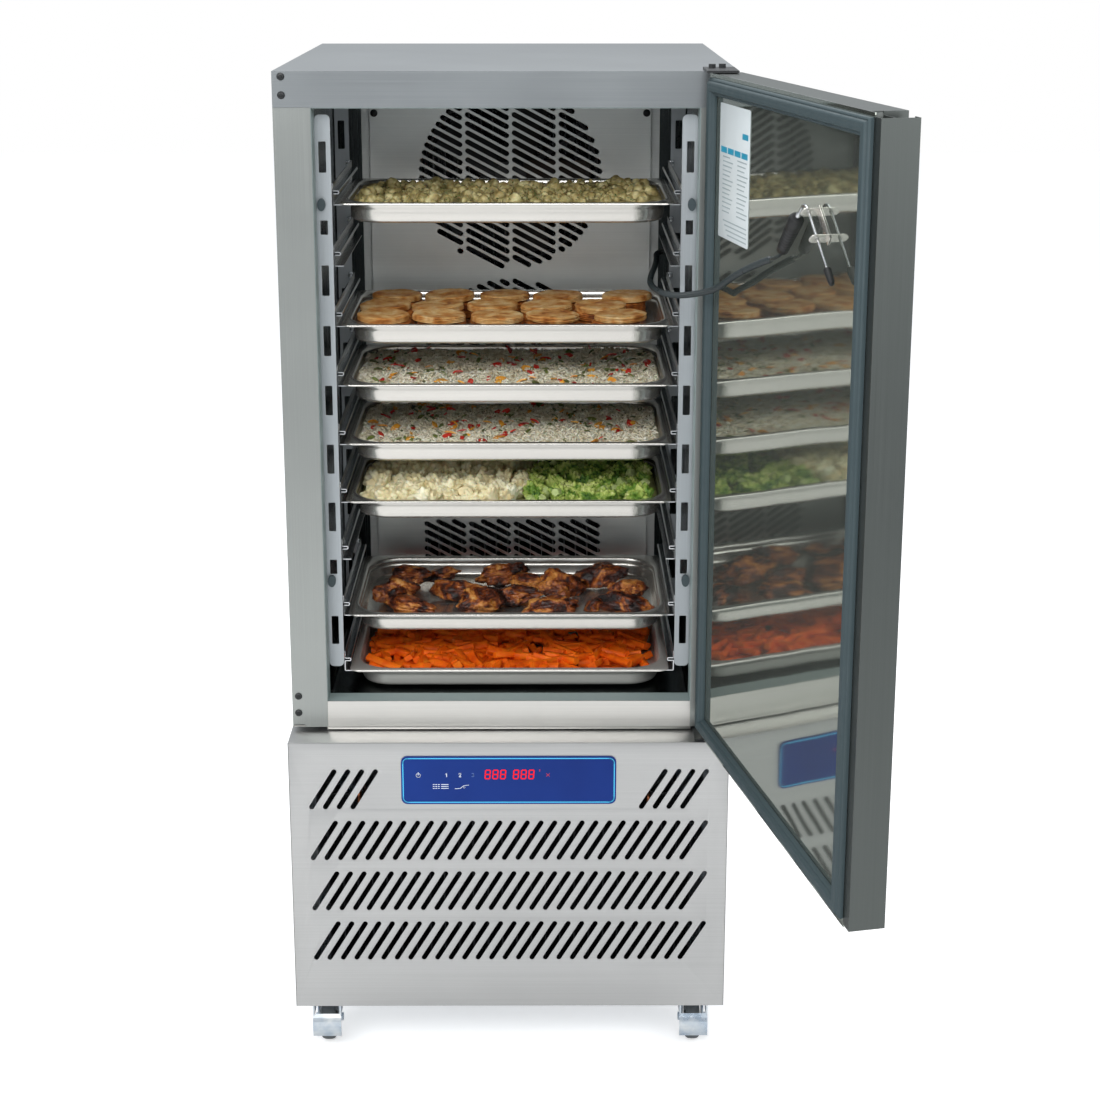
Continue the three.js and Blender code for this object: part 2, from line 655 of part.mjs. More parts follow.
function probeCable() {
  const onDoor = CABLE_DROP.map(([x, off, z]) => new THREE.Vector3(x, DOOR.back + off, z)
    .applyMatrix4(openDoor));
  const free = CABLE_RUN.map((p) => new THREE.Vector3(...p));
  const path = new THREE.CatmullRomCurve3([...onDoor, ...free]);
  const lead = tubeAlong(path, 0, CABLE_LEAD.end, CABLE_RADIUS.lead, CABLE_STEPS.lead);
  const sleeve = tubeAlong(path, CABLE_LEAD.overlap, 1, CABLE_RADIUS.sleeve,
    CABLE_STEPS.sleeve);
  add('probe_cable', lead.add(sleeve), slatePlastic);
  add('cable_gland', cylinder('x', GLAND.x, GLAND.y, GLAND.z, GLAND.radius,
    LINER_HALF - GAP - GLAND.x, 12), greyPlastic);
}

// ---------------------------------------------------------------- machine housing
function louvreSlot(x, z) {
  // a slot leaning to the right, with round ends
  const { run, rise, width } = LOUVRE_SLOT;
  const lean = Math.atan2(rise, run);
  const half = width / 2;
  const shape = new THREE.Shape();
  shape.absarc(x + run / 2, z + rise / 2, half, lean - Math.PI / 2, lean + Math.PI / 2);
  shape.absarc(x - run / 2, z - rise / 2, half, lean + Math.PI / 2, lean + 1.5 * Math.PI);
  return alongY(shape, LOWER_FRONT - 1, LOWER_FRONT + 3, 1);
}

function lowerFrontPanel() {
  const ledgeBack = 40;
  const returnBack = -30;
  const panel = union(
    box(-LOWER_HALF, LOWER_HALF, LOWER_FRONT, LOWER_FRONT + SHEET, LOWER_BOTTOM, LOWER_TOP),
    box(-LOWER_HALF, LOWER_HALF, LOWER_FRONT, ledgeBack, LOWER_TOP - SHEET, LOWER_TOP),
    box(-LOWER_HALF, -LOWER_HALF + SHEET, LOWER_FRONT, returnBack, LOWER_BOTTOM, LOWER_TOP),
    box(LOWER_HALF - SHEET, LOWER_HALF, LOWER_FRONT, returnBack, LOWER_BOTTOM, LOWER_TOP),
  );
  const { rows, columns, pitch, rowPitch, topRow, end } = LOUVRE;
  const slots = [];
  for (let row = 0; row < rows; row += 1) {
    for (let column = 0; column < columns; column += 1) {
      // the control fascia takes the middle of the top row
      const clear = row > 0 || column < end || column >= columns - end;
      const x = (column - (columns - 1) / 2) * pitch;
      if (clear) slots.push(louvreSlot(x, topRow - row * rowPitch));
    }
  }
  add('lower_front_panel', slots.reduce((sheet, slot) => sheet.subtract(slot), panel), steel);
}

function lowerWrap() {
  const front = -30 + GAP;
  const profile = polygon([
    [-LOWER_HALF, front], [-LOWER_HALF + SHEET, front],
    [-LOWER_HALF + SHEET, DEPTH - SHEET], [LOWER_HALF - SHEET, DEPTH - SHEET],
    [LOWER_HALF - SHEET, front], [LOWER_HALF, front], [LOWER_HALF, DEPTH],
    [-LOWER_HALF, DEPTH],
  ]);
  let wrap = alongZ(profile, LOWER_BOTTOM, LOWER_TOP - SHEET - GAP);
  const vents = { count: 10, spacing: 50, half: 5, bottom: 280, top: 440 };
  for (let n = 0; n < vents.count; n += 1) {
    const x = (n - (vents.count - 1) / 2) * vents.spacing;
    wrap = wrap.subtract(box(x - vents.half, x + vents.half, DEPTH - 3, DEPTH + 1,
      vents.bottom, vents.top));
  }
  add('lower_wrap', wrap, steel);
}

function baseFrame() {
  const half = LOWER_HALF - SHEET - GAP;
  const post = 30;
  const frontPost = 45;
  const rearPost = 700;
  const floorZ = 100;
  const railTop = CABINET_BOTTOM - GAP;
  const railBottom = 545;
  const pieces = [box(-half, half, LOWER_FRONT + SHEET + GAP, DEPTH - SHEET - GAP,
    floorZ, floorZ + 3)];
  for (const side of [-1, 1]) {
    const x0 = side < 0 ? -half + 0.5 : half - post - 0.5;
    pieces.push(box(x0, x0 + post, frontPost, frontPost + post, floorZ + 1, railTop));
    pieces.push(box(x0, x0 + post, rearPost, rearPost + post, floorZ + 1, railTop));
    pieces.push(box(x0, x0 + post, frontPost, rearPost + post, railBottom, LOWER_TOP - 2));
  }
  for (const y of [frontPost, rearPost]) {
    pieces.push(box(-half + 5, half - 5, y, y + post, railBottom, LOWER_TOP - 2));
  }
  const stemHoles = casterPlaces().map(({ x, y }) => cylinder('z', x, y, floorZ - 1, 6.5, 6, 12));
  add('base_frame', union(...pieces).subtract(union(...stemHoles)), zinc);
}

function compressor() {
  const centre = { x: 0, y: 400 };
  const profile = [
    [0, 112], [70, 112], [84, 128], [88, 180], [88, 205], [94, 207], [94, 213], [88, 215],
    [86, 260], [70, 300], [40, 318], [0, 322],
  ].map(([r, z]) => new THREE.Vector2(r, z));
  const shell = new THREE.LatheGeometry(profile, 14);
  shell.rotateX(Math.PI / 2);
  shell.translate(centre.x, centre.y, 0);
  const plate = box(centre.x - 120, centre.x + 120, centre.y - 85, centre.y + 85,
    103 + GAP, 114);
  add('compressor', solid(shell).add(plate), blackPaint);
}

function condenser() {
  const coil = { half: 300, y0: -36, y1: 30, z0: 125, z1: 440, fins: 26, spine: 6 };
  add('condenser_coil', finBlock(coil), aluminium);
  const centreZ = 285;
  const plate = box(-305, 305, 31, 34, 110, 446)
    .subtract(cylinder('y', 0, 30, centreZ, 152, 6, 24));
  add('condenser_fan_shroud', plate, blackPaint);
  add('condenser_fan_blade', fanBlade(42, 0, centreZ, 140, 28), aluminium);
  const motor = cylinder('y', 0, 70, centreZ, 38, 50, 16);
  const arms = [0, 1, 2].map((n) => {
    const arm = new THREE.BoxGeometry(136, 6, 10);
    arm.translate(98, 0, 0);
    const leg = new THREE.BoxGeometry(8, 47, 10);
    leg.translate(162, -20.2, 0);
    return [arm, leg].map((piece) => {
      piece.rotateY((n * 2 * Math.PI) / 3 + Math.PI / 2);
      piece.translate(0, 78, centreZ);
      return solid(piece);
    });
  }).flat();
  add('condenser_fan_motor', union(motor, ...arms), blackPaint);
}

function controls() {
  const { half, bottom, top, corner, thickness } = FASCIA;
  const back = LOWER_FRONT - GAP;
  add('control_fascia', alongY(roundedRectangle(-half, half, bottom, top, corner),
    back - thickness, back, 2), fasciaBlue);
  const behind = LOWER_FRONT + SHEET + GAP;
  add('control_box', box(-165, 165, behind, behind + 48, 468, 545), blackPlastic);
}

function machineHousing() {
  lowerFrontPanel();
  lowerWrap();
  baseFrame();
  compressor();
  condenser();
  controls();
  add('power_gland', cylinder('y', -280, DEPTH + GAP, 180, 12, 16, 12), blackPlastic);
}

// ---------------------------------------------------------------- casters
function casterPlaces() {
  const { x, frontY, rearY } = CASTER;
  return [
    { name: 'front_left', x: -x, y: frontY, brake: true },
    { name: 'front_right', x, y: frontY, brake: true },
    { name: 'rear_left', x: -x, y: rearY, brake: false },
    { name: 'rear_right', x, y: rearY, brake: false },
  ];
}

function casterFork() {
  // stem, crown and two legs that reach the axle, about the swivel axis
  const { trail, wheel } = CASTER;
  const legShape = new THREE.Shape();
  legShape.moveTo(18, 86);
  legShape.lineTo(-42, 86);
  legShape.lineTo(-trail - 11, wheel);
  legShape.absarc(-trail, wheel, 11, Math.PI, 2 * Math.PI);
  const legs = [[-19, -16], [16, 19]].map(([x0, x1]) => alongX(legShape, x0, x1, 2));
  return union(
    cylinder('z', 0, 0, 86, 5.8, 26, 8),
    box(-19, 19, -42, 18, 83, 86.5),
    cylinder('z', 0, 0, 86, 26, 8, 12),
    cylinder('x', -23, -trail, wheel, 4, 46, 8),
    cylinder('x', -23, -46, 76, 3, 46, 6),
    box(-19, -16, -50, -40, 72, 86), box(16, 19, -50, -40, 72, 86),
    ...legs,
  );
}

function casterWheel() {
  const { trail, wheel, width } = CASTER;
  return cylinder('x', -width / 2, -trail, wheel, wheel, width, 24)
    .subtract(cylinder('x', -width, -trail, wheel, 4.6, 2 * width, 8));
}

function brakePedal() {
  // a curved plate hung in front of the wheel on two ears
  const shape = new THREE.Shape();
  const centre = { y: -28, z: 40 };
  shape.absarc(centre.y, centre.z, 44, Math.PI * 0.82, Math.PI * 1.12);
  shape.absarc(centre.y, centre.z, 41.5, Math.PI * 1.12, Math.PI * 0.82, true);
  const plate = alongX(shape, -24, 24, 3);
  const ears = [[-24, -21], [21, 24]].map(([x0, x1]) => box(x0, x1, -68, -40, 62, 80)
    .subtract(cylinder('x', x0 - 1, -46, 76, 3.4, 5, 8)));
  return union(plate, ...ears);
}

function casters() {
  for (const { name, x, y, brake } of casterPlaces()) {
    const place = new THREE.Matrix4().makeTranslation(x, y, 0);
    add(`caster_fork_${name}`, casterFork(), zinc, place);
    add(`caster_wheel_${name}`, casterWheel(), wheelRubber, place);
    if (brake) add(`brake_pedal_${name}`, brakePedal(), zinc, place);
  }
}

// ---------------------------------------------------------------- the whole chiller
topCover();
sidePanel('side_panel_left', -1);
sidePanel('side_panel_right', 1);
rearPanel();
sillRail();
insulationFoam();
innerLiner();
breakerFrame();
airSystem();
cavityFittings();
door();
probe();
probeCable();
machineHousing();
casters();

export default model;
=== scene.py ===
"""Looks of the upright blast chiller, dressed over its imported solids.

Metres, +Z up, +X to the machine's right, +Y into the machine, floor at Z 0.
Pieces on the door are written for the closed door and turned to its open pose.
"""

import math
import random

import bmesh
import bpy
import numpy as np
from mathutils import Matrix, Vector, noise


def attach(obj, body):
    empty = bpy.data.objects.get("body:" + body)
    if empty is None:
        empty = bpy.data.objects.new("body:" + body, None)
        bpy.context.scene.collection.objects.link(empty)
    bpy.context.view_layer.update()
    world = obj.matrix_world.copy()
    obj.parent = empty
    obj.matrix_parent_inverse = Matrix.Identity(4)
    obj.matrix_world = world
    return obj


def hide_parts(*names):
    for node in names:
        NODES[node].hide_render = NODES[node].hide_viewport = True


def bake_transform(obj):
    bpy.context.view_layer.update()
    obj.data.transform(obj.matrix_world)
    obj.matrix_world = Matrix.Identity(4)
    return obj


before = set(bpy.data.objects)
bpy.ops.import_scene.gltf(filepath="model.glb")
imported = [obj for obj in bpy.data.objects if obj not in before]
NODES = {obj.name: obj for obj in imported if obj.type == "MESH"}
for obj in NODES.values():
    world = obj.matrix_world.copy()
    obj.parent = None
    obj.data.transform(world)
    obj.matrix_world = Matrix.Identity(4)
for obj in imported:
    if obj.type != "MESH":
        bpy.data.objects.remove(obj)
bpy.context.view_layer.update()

# ------------------------------------------------------------------ dimensions of the source
MM = 0.001
LEVEL_PITCH = 0.09695
TOP_RIM = 1.433
PAN_LEVELS = (1, 3, 4, 5, 6, 8, 9)
SLIDE_LEVELS = range(1, 10)
PAN_HALF = 0.265
PAN_FRONT = 0.050
PAN_BACK = 0.375
PAN_FLOOR = 0.0333  # the tub's floor under the rim
PIN = Vector((0.335, -0.035, 0.0))
DOOR_OPEN = math.radians(102)
OPEN = Matrix.Translation(PIN) @ Matrix.Rotation(DOOR_OPEN, 4, "Z") @ Matrix.Translation(-PIN)
DOOR_BACK = -0.012
LOWER_HALF = 0.358
LOWER_FRONT = -0.054
LOWER_TOP = 0.571
LOWER_BOTTOM = 0.098
CORNERS = {
    "front_left": (-0.311, 0.045),
    "front_right": (0.311, 0.045),
    "rear_left": (-0.311, 0.690),
    "rear_right": (0.311, 0.690),
}
WHEEL_TRAIL = 0.028
WHEEL_RADIUS = 0.0375
SHEET = 0.0015


def rim_height(level):
    return TOP_RIM - LEVEL_PITCH * (level - 1)


def pan_floor(level):
    return rim_height(level) - PAN_FLOOR


# ------------------------------------------------------------------ camera
def make_camera():
    """The photograph's viewpoint, fitted to the cabinet's straight edges."""
    data = bpy.data.cameras.new("camera")
    camera = bpy.data.objects.new("camera", data)
    bpy.context.scene.collection.objects.link(camera)
    camera.location = (0.0571, -3.1259, 1.8546)
    pitch_down = math.radians(14.51)
    yaw_right = math.radians(0.19)
    camera.rotation_euler = (math.pi / 2 - pitch_down, 0.0, -yaw_right)
    data.sensor_width = 36.0
    data.lens = 66.55
    data.shift_y = -0.09
    data.clip_start = 0.05
    bpy.context.scene.camera = camera


# ------------------------------------------------------------------ shapes
TUBE_SIDES = 12


def around(count):
    """Angles of even steps round a circle."""
    return [2 * math.pi * step / count for step in range(count)]


def arc(x, y, radius, start, end, steps):
    """Points of an arc from one angle to another, in degrees."""
    angles = [math.radians(start + (end - start) * step / steps) for step in range(steps + 1)]
    return [(x + radius * math.cos(angle), y + radius * math.sin(angle)) for angle in angles]


def rounded_outline(x0, x1, y0, y1, radius, per_corner=8):
    """Anticlockwise points of a rectangle with round corners."""
    centres = ((x1 - radius, y1 - radius), (x0 + radius, y1 - radius),
               (x0 + radius, y0 + radius), (x1 - radius, y0 + radius))
    outline = []
    for quarter, (x, y) in enumerate(centres):
        outline += arc(x, y, radius, 90 * quarter, 90 * quarter + 90, per_corner)
    return outline


def slot_outline(start, end, radius, steps):
    """A slot with round ends from start to end."""
    (x0, z0), (x1, z1) = start, end
    lean = math.degrees(math.atan2(z1 - z0, x1 - x0))
    return (arc(x1, z1, radius, lean - 90, lean + 90, steps)
            + arc(x0, z0, radius, lean + 90, lean + 270, steps))


def loft(rings, closed=False):
    """A skin over rings with as many points each: capped, or closed from last to first."""
    count = len(rings[0])
    verts = [point for ring in rings for point in ring]
    faces = []
    for row in range(len(rings) if closed else len(rings) - 1):
        below = row * count
        above = ((row + 1) % len(rings)) * count
        for i in range(count):
            j = (i + 1) % count
            faces.append((below + i, below + j, above + j, above + i))
    if not closed:
        faces.append(tuple(reversed(range(count))))
        faces.append(tuple(range(len(verts) - count, len(verts))))
    return verts, faces


def tube(points, radius):
    """A round tube along points; radius may be a number or a function of (ring, angle)."""
    points = [Vector(point) for point in points]
    rings = []
    side = None
    for i, point in enumerate(points):
        along = (points[min(i + 1, len(points) - 1)] - points[max(i - 1, 0)]).normalized()
        if side is None:
            side = along.orthogonal().normalized()
        side = (side - along * side.dot(along)).normalized()
        up = along.cross(side)
        ring = []
        for angle in around(TUBE_SIDES):
            reach = radius(i, angle) if callable(radius) else radius
            ring.append(tuple(point + reach * (math.cos(angle) * side + math.sin(angle) * up)))
        rings.append(ring)
    return loft(rings)


def lathe(profile, origin, axis, sides=32, closed=False):
    """A solid of revolution: profile is (distance along axis, radius) from end to end."""
    axis = Vector(axis).normalized()
    side = axis.orthogonal().normalized()
    up = axis.cross(side)
    rings = []
    for along, radius in profile:
        centre = Vector(origin) + axis * along
        rings.append([tuple(centre + radius * (math.cos(angle) * side + math.sin(angle) * up))
                      for angle in around(sides)])
    return loft(rings, closed)


def rounded_path(corners, radius, steps=5):
    """Points along a path with its inner corners rounded."""
    corners = [Vector(corner) for corner in corners]
    points = [corners[0]]
    for behind, corner, ahead in zip(corners, corners[1:], corners[2:]):
        before = behind - corner
        after = ahead - corner
        cut = min(radius, before.length / 2.01, after.length / 2.01)
        start = corner + before.normalized() * cut
        end = corner + after.normalized() * cut
        for step in range(steps + 1):
            t = step / steps
            points.append(start * (1 - t) ** 2 + corner * 2 * t * (1 - t) + end * t ** 2)
    return points + [corners[-1]]


def block(lo, hi, bevel=0.0005, segments=2):
    """A box with softened edges."""
    bm = bmesh.new()
    bmesh.ops.create_cube(bm, size=1.0)
    bmesh.ops.scale(bm, vec=Vector(hi) - Vector(lo), verts=bm.verts)
    bmesh.ops.translate(bm, vec=(Vector(hi) + Vector(lo)) / 2, verts=bm.verts)
    bmesh.ops.bevel(bm, geom=bm.edges[:], offset=bevel, segments=segments, affect="EDGES",
                    profile=0.5)
    return drained(bm)


def drained(bm):
    """The vertices and faces of a bmesh, which is then freed."""
    bm.verts.index_update()
    verts = [tuple(vert.co) for vert in bm.verts]
    faces = [tuple(vert.index for vert in face.verts) for face in bm.faces]
    bm.free()
    return verts, faces


def plate(outline, holes, thickness, bevel):
    """A flat plate in XY from Z 0 up, with holes and softened edges."""
    curve = bpy.data.curves.new("plate", "CURVE")
    curve.dimensions = "2D"
    curve.fill_mode = "BOTH"
    curve.extrude = thickness / 2 - bevel
    curve.bevel_depth = bevel
    curve.bevel_resolution = 1
    for ring in (outline, *holes):
        spline = curve.splines.new("POLY")
        spline.points.add(len(ring) - 1)
        for point, (x, y) in zip(spline.points, ring):
            point.co = (x, y, 0.0, 1.0)
        spline.use_cyclic_u = True
    holder = bpy.data.objects.new("plate", curve)
    bpy.context.scene.collection.objects.link(holder)
    depsgraph = bpy.context.evaluated_depsgraph_get()
    mesh = bpy.data.meshes.new_from_object(holder.evaluated_get(depsgraph))
    verts = [(v.co.x, v.co.y, v.co.z + thickness / 2) for v in mesh.vertices]
    faces = [tuple(face.vertices) for face in mesh.polygons]
    bpy.data.objects.remove(holder)
    bpy.data.curves.remove(curve)
    bpy.data.meshes.remove(mesh)
    return verts, faces


XZ_PLANE = Matrix(((1, 0, 0, 0), (0, 0, 1, 0), (0, 1, 0, 0), (0, 0, 0, 1)))  # XY drawn to XZ
MIRROR = Matrix.Scale(-1, 4, (1, 0, 0))  # left for right


def standing_plate(outline, holes, thickness, y, bevel=0.0003):
    """A plate drawn in (X, Z), its front at Y."""
    return moved(plate(outline, holes, thickness, bevel),
                 Matrix.Translation((0, y, 0)) @ XZ_PLANE)


def moved(part, matrix):
    """A part, as vertices and faces, moved by a matrix."""
    verts, faces = part
    if matrix.determinant() < 0:
        faces = [tuple(reversed(face)) for face in faces]
    return [tuple(matrix @ Vector(vert)) for vert in verts], faces


def joined(*parts):
    """Several parts as one list of vertices and faces."""
    verts, faces = [], []
    for part_verts, part_faces in parts:
        start = len(verts)
        verts.extend(part_verts)
        faces.extend(tuple(start + i for i in face) for face in part_faces)
    return verts, faces


def add_piece(name, part, surface, body, sharp=35, slot=None, replaces=None):
    """A shown piece from vertices and faces, riding on a body if one is named."""
    verts, faces = part
    mesh = bpy.data.meshes.new(name)
    mesh.from_pydata(verts, [], faces)
    if body == "door":
        mesh.transform(OPEN)
    bm = bmesh.new()
    bm.from_mesh(mesh)
    bmesh.ops.remove_doubles(bm, verts=bm.verts, dist=1e-6)
    bmesh.ops.recalc_face_normals(bm, faces=bm.faces)
    bm.to_mesh(mesh)
    bm.free()
    mesh.polygons.foreach_set("use_smooth", [True] * len(mesh.polygons))
    mesh.set_sharp_from_angle(angle=math.radians(sharp))
    mesh.materials.append(surface.material)
    piece = bpy.data.objects.new(name, mesh)
    bpy.context.scene.collection.objects.link(piece)
    if body:
        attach(piece, body)
    if replaces:
        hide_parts(replaces)
    return piece


# ------------------------------------------------------------------ materials
def srgb(red, green, blue):
    """A display colour, 0 to 255, as the linear values that shaders use."""
    def linear(value):
        value /= 255
        return value / 12.92 if value <= 0.04045 else ((value + 0.055) / 1.055) ** 2.4
    return linear(red), linear(green), linear(blue), 1.0


def set_inputs(node, inputs):
    """Sets a node's inputs: constants are written, outputs of other nodes are linked."""
    for key, value in inputs.items():
        if isinstance(value, bpy.types.NodeSocket):
            node.id_data.links.new(value, node.inputs[key])
        else:
            node.inputs[key].default_value = value
    return node


def make_node(tree, kind, inputs=None, **settings):
    made = tree.nodes.new("ShaderNode" + kind)
    for key, value in settings.items():
        setattr(made, key, value)
    return set_inputs(made, inputs or {})


class Surface:
    """A principled material, with short ways to give it detail."""

    def __init__(self, name, colour, roughness, metallic=0.0, **sockets):
        self.material = bpy.data.materials.new(name)
        self.material.use_nodes = True
        self.tree = self.material.node_tree
        self.shader = self.tree.nodes["Principled BSDF"]
        inputs = {"Base Color": colour, "Roughness": roughness, "Metallic": metallic}
        inputs.update((key.replace("_", " "), value) for key, value in sockets.items())
        set_inputs(self.shader, inputs)
        self.place = self.node("TexCoord").outputs["Object"]
        self.normal = None

    def node(self, kind, inputs=None, **settings):
        return make_node(self.tree, kind, inputs, **settings)

    def stretched(self, scale):
        return self.node("Mapping", {"Scale": scale, "Vector": self.place}).outputs["Vector"]

    def noise(self, scale, detail=2.0, vector=None, roughness=0.5, distortion=0.0):
        made = self.node("TexNoise", {
            "Scale": scale, "Detail": detail, "Roughness": roughness, "Distortion": distortion,
            "Vector": vector or self.place})
        return made.outputs["Fac"]

    def cells(self, scale):
        made = self.node("TexVoronoi", {"Scale": scale, "Vector": self.place})
        return made.outputs["Distance"]

    def colour(self, value, *stops):
        """Colours between stops of (texture's value, colour)."""
        made = self.node("ValToRGB", {"Fac": value})
        elements = made.color_ramp.elements
        while len(elements) < len(stops):
            elements.new(0.5)
        for element, (position, colour) in zip(elements, stops):
            element.position = position
            element.color = colour
        set_inputs(self.shader, {"Base Color": made.outputs["Color"]})

    def gloss(self, value, low, high):
        """Roughness from low to high as a texture goes from dark to light."""
        made = self.node("MapRange", {"From Min": 0.25, "From Max": 0.75, "To Min": low,
                                      "To Max": high, "Value": value})
        set_inputs(self.shader, {"Roughness": made.outputs["Result"]})

    def bump(self, height, distance):
        """Relief up to a distance, on top of what relief there is."""
        inputs = {"Strength": 1.0, "Distance": distance, "Height": height}
        if self.normal:
            inputs["Normal"] = self.normal
        self.normal = self.node("Bump", inputs).outputs["Normal"]
        set_inputs(self.shader, {"Normal": self.normal})


GRAIN_SCALES = {"x": (3, 900, 900), "y": (900, 3, 900), "z": (900, 900, 3)}
SHEEN_SPREAD = 0.07
SCRATCH_SHARE = 0.6


def brushed(name, colour, grain, roughness, depth=0.00003, waves=0.0, metallic=1.0):
    """Brushed sheet: fine scratches along one axis over slow changes of sheen."""
    made = Surface(name, colour, roughness, metallic)
    scratches = made.noise(1.0, 3.0, made.stretched(GRAIN_SCALES[grain]))
    smears = made.node("Math", {0: made.noise(5.0, 3.0), 1: 1 - SCRATCH_SHARE},
                       operation="MULTIPLY").outputs[0]
    mix = made.node("Math", {0: scratches, 1: SCRATCH_SHARE, 2: smears},
                    operation="MULTIPLY_ADD").outputs[0]
    made.gloss(mix, roughness * 0.85, roughness * 1.18)
    dark, light = (tuple(min(1.0, value * (1 + change)) for value in colour[:3]) + (1.0,)
                   for change in (-SHEEN_SPREAD, SHEEN_SPREAD))
    made.colour(mix, (0.3, dark), (0.7, light))
    made.bump(scratches, depth)
    if waves:
        made.bump(made.noise(3.5, 1.0), waves)
    return made


def plastic(name, colour, roughness, grain=0.00004):
    """Moulded plastic: a fine texture and slightly uneven gloss."""
    made = Surface(name, colour, roughness)
    made.gloss(made.noise(40.0, 4.0), roughness - 0.08, roughness + 0.1)
    made.bump(made.noise(1400.0, 2.0), grain)
    return made


def foamed(name, colour):
    """Set foam: open cells and slow swells."""
    made = Surface(name, colour, 0.95)
    made.bump(made.cells(320.0), 0.0006)
    made.bump(made.noise(60.0, 4.0), 0.002)
    return made


FIN_PITCH = 0.0032


def finned(name, colour, metallic=0.9):
    """Fin stock: close upright fins."""
    made = Surface(name, colour, 0.5, metallic)
    fins = made.node("TexWave", {"Scale": 2 * math.pi / FIN_PITCH / 20, "Vector": made.place},
                     bands_direction="X")
    made.bump(fins.outputs["Fac"], 0.0012)
    made.gloss(made.noise(25.0, 3.0), 0.4, 0.65)
    return made


def polished_sheet():
    """The door's inner sheet: nearly a mirror, with the faint haze of fine scratches."""
    made = Surface("polished_steel", srgb(160, 166, 158), 0.05, 0.88, Specular_IOR_Level=0.2)
    made.gloss(made.noise(1.0, 3.0, made.stretched(GRAIN_SCALES["z"])), 0.035, 0.065)
    made.bump(made.noise(3.5, 1.0), 0.0012)
    return made


def zinc_plate(name):
    made = Surface(name, srgb(196, 206, 214), 0.28, 1.0)
    patches = made.noise(35.0, 4.0)
    made.colour(patches, (0.35, srgb(176, 190, 204)), (0.65, srgb(222, 226, 228)))
    made.gloss(patches, 0.2, 0.42)
    made.bump(made.noise(420.0, 3.0), 0.00008)
    return made


def copper():
    made = Surface("copper_pipe", srgb(206, 130, 92), 0.3, 1.0)
    made.colour(made.noise(30.0, 4.0), (0.35, srgb(150, 86, 58)), (0.7, srgb(224, 150, 110)))
    made.bump(made.noise(220.0, 3.0), 0.0001)
    return made


def fascia_film():
    made = Surface("fascia_film", srgb(14, 44, 116), 0.42, Specular_IOR_Level=0.2)
    made.colour(made.noise(8.0, 2.0), (0.3, srgb(6, 40, 112)), (0.7, srgb(10, 48, 124)))
    made.bump(made.noise(900.0, 2.0), 0.00002)
    return made


def glowing(name, colour, strength):
    made = Surface(name, (0.1, 0.002, 0.001, 1.0), 0.4, Emission_Color=colour,
                   Emission_Strength=strength, Specular_IOR_Level=0.1)
    made.gloss(made.noise(60.0), 0.35, 0.5)
    return made


def card_stock(name, colour):
    made = Surface(name, colour, 0.35)
    made.gloss(made.noise(30.0, 3.0), 0.28, 0.45)
    made.bump(made.noise(9.0, 1.0), 0.001)
    return made


def make_materials():
    """Every surface of the machine by its key; the food's are made with the food."""
    return {
        "case": brushed("case_steel", srgb(158, 161, 158), "z", 0.36, waves=0.0007),
        "header": brushed("header_steel", srgb(150, 154, 156), "x", 0.34),
        "sill": brushed("sill_steel", srgb(206, 204, 199), "x", 0.34),
        "housing": brushed("housing_steel", srgb(184, 184, 183), "x", 0.36, waves=0.0008),
        "liner": brushed("liner_steel", srgb(92, 98, 98), "z", 0.26),
        "cover": brushed("fan_cover_steel", srgb(206, 209, 206), "x", 0.42, 0.00002, 0.0006),
        # The door skin is the same steel as the case, coloured much darker: painted shade.
        "door": brushed("door_steel_painted_shade", srgb(92, 96, 94), "z", 0.38),
        "mirror": polished_sheet(),
        "pan": brushed("pan_steel", srgb(206, 203, 197), "x", 0.24, waves=0.0006,
                       metallic=0.88),
        # The lowest pan wears a paler, partly matt copy of the pan steel: painted light that
        # brightens its front wall.
        "pan_painted_light": brushed("pan_steel_painted_light", srgb(214, 211, 205), "x", 0.34, waves=0.0006,
                           metallic=0.62),
        "rack": brushed("rack_steel", srgb(178, 183, 186), "z", 0.45),
        "wire": brushed("wire_steel", srgb(200, 202, 204), "y", 0.22, 0.00002),
        "zinc": zinc_plate("bright_zinc"),
        "frame_zinc": zinc_plate("frame_zinc"),
        "black": plastic("black_plastic", srgb(14, 15, 16), 0.42),
        "motor": plastic("motor_paint", srgb(26, 28, 30), 0.42),
        "slate": plastic("slate_plastic", srgb(54, 66, 70), 0.5),
        "grey": plastic("grey_plastic", srgb(136, 150, 149), 0.5),
        "rubber": plastic("gasket_rubber", srgb(50, 65, 69), 0.62, 0.00008),
        "tyre": plastic("wheel_rubber", srgb(88, 92, 94), 0.7, 0.00012),
        "cable": plastic("cable_sleeve", srgb(40, 48, 50), 0.32),
        "foam": foamed("insulating_foam", srgb(214, 199, 140)),
        "door_foam": foamed("door_foam_cut", srgb(120, 124, 122)),
        "coil": finned("coil_fins", srgb(176, 180, 182)),
        # Condenser fins coloured near black: painted shade, so that the louvre slots in front of
        # them read dark.
        "dark_coil": finned("condenser_fins_painted_shade", srgb(46, 48, 50), 0.6),
        "fan": brushed("fan_aluminium", srgb(150, 154, 158), "x", 0.45),
        "copper": copper(),
        "film": fascia_film(),
        "white_print": plastic("white_print", srgb(225, 232, 240), 0.4),
        "cyan_print": plastic("cyan_print", srgb(70, 190, 235), 0.4),
        "dim_print": plastic("dim_print", srgb(90, 120, 180), 0.4),
        "led": glowing("red_digits", srgb(255, 28, 8), 1.1),
        "red_print": plastic("red_print", srgb(190, 40, 50), 0.4),
        "card": card_stock("card_stock", srgb(208, 215, 217)),
        "card_cyan": card_stock("card_cyan", srgb(44, 146, 176)),
        "card_grey": card_stock("card_grey", srgb(150, 164, 168)),
    }


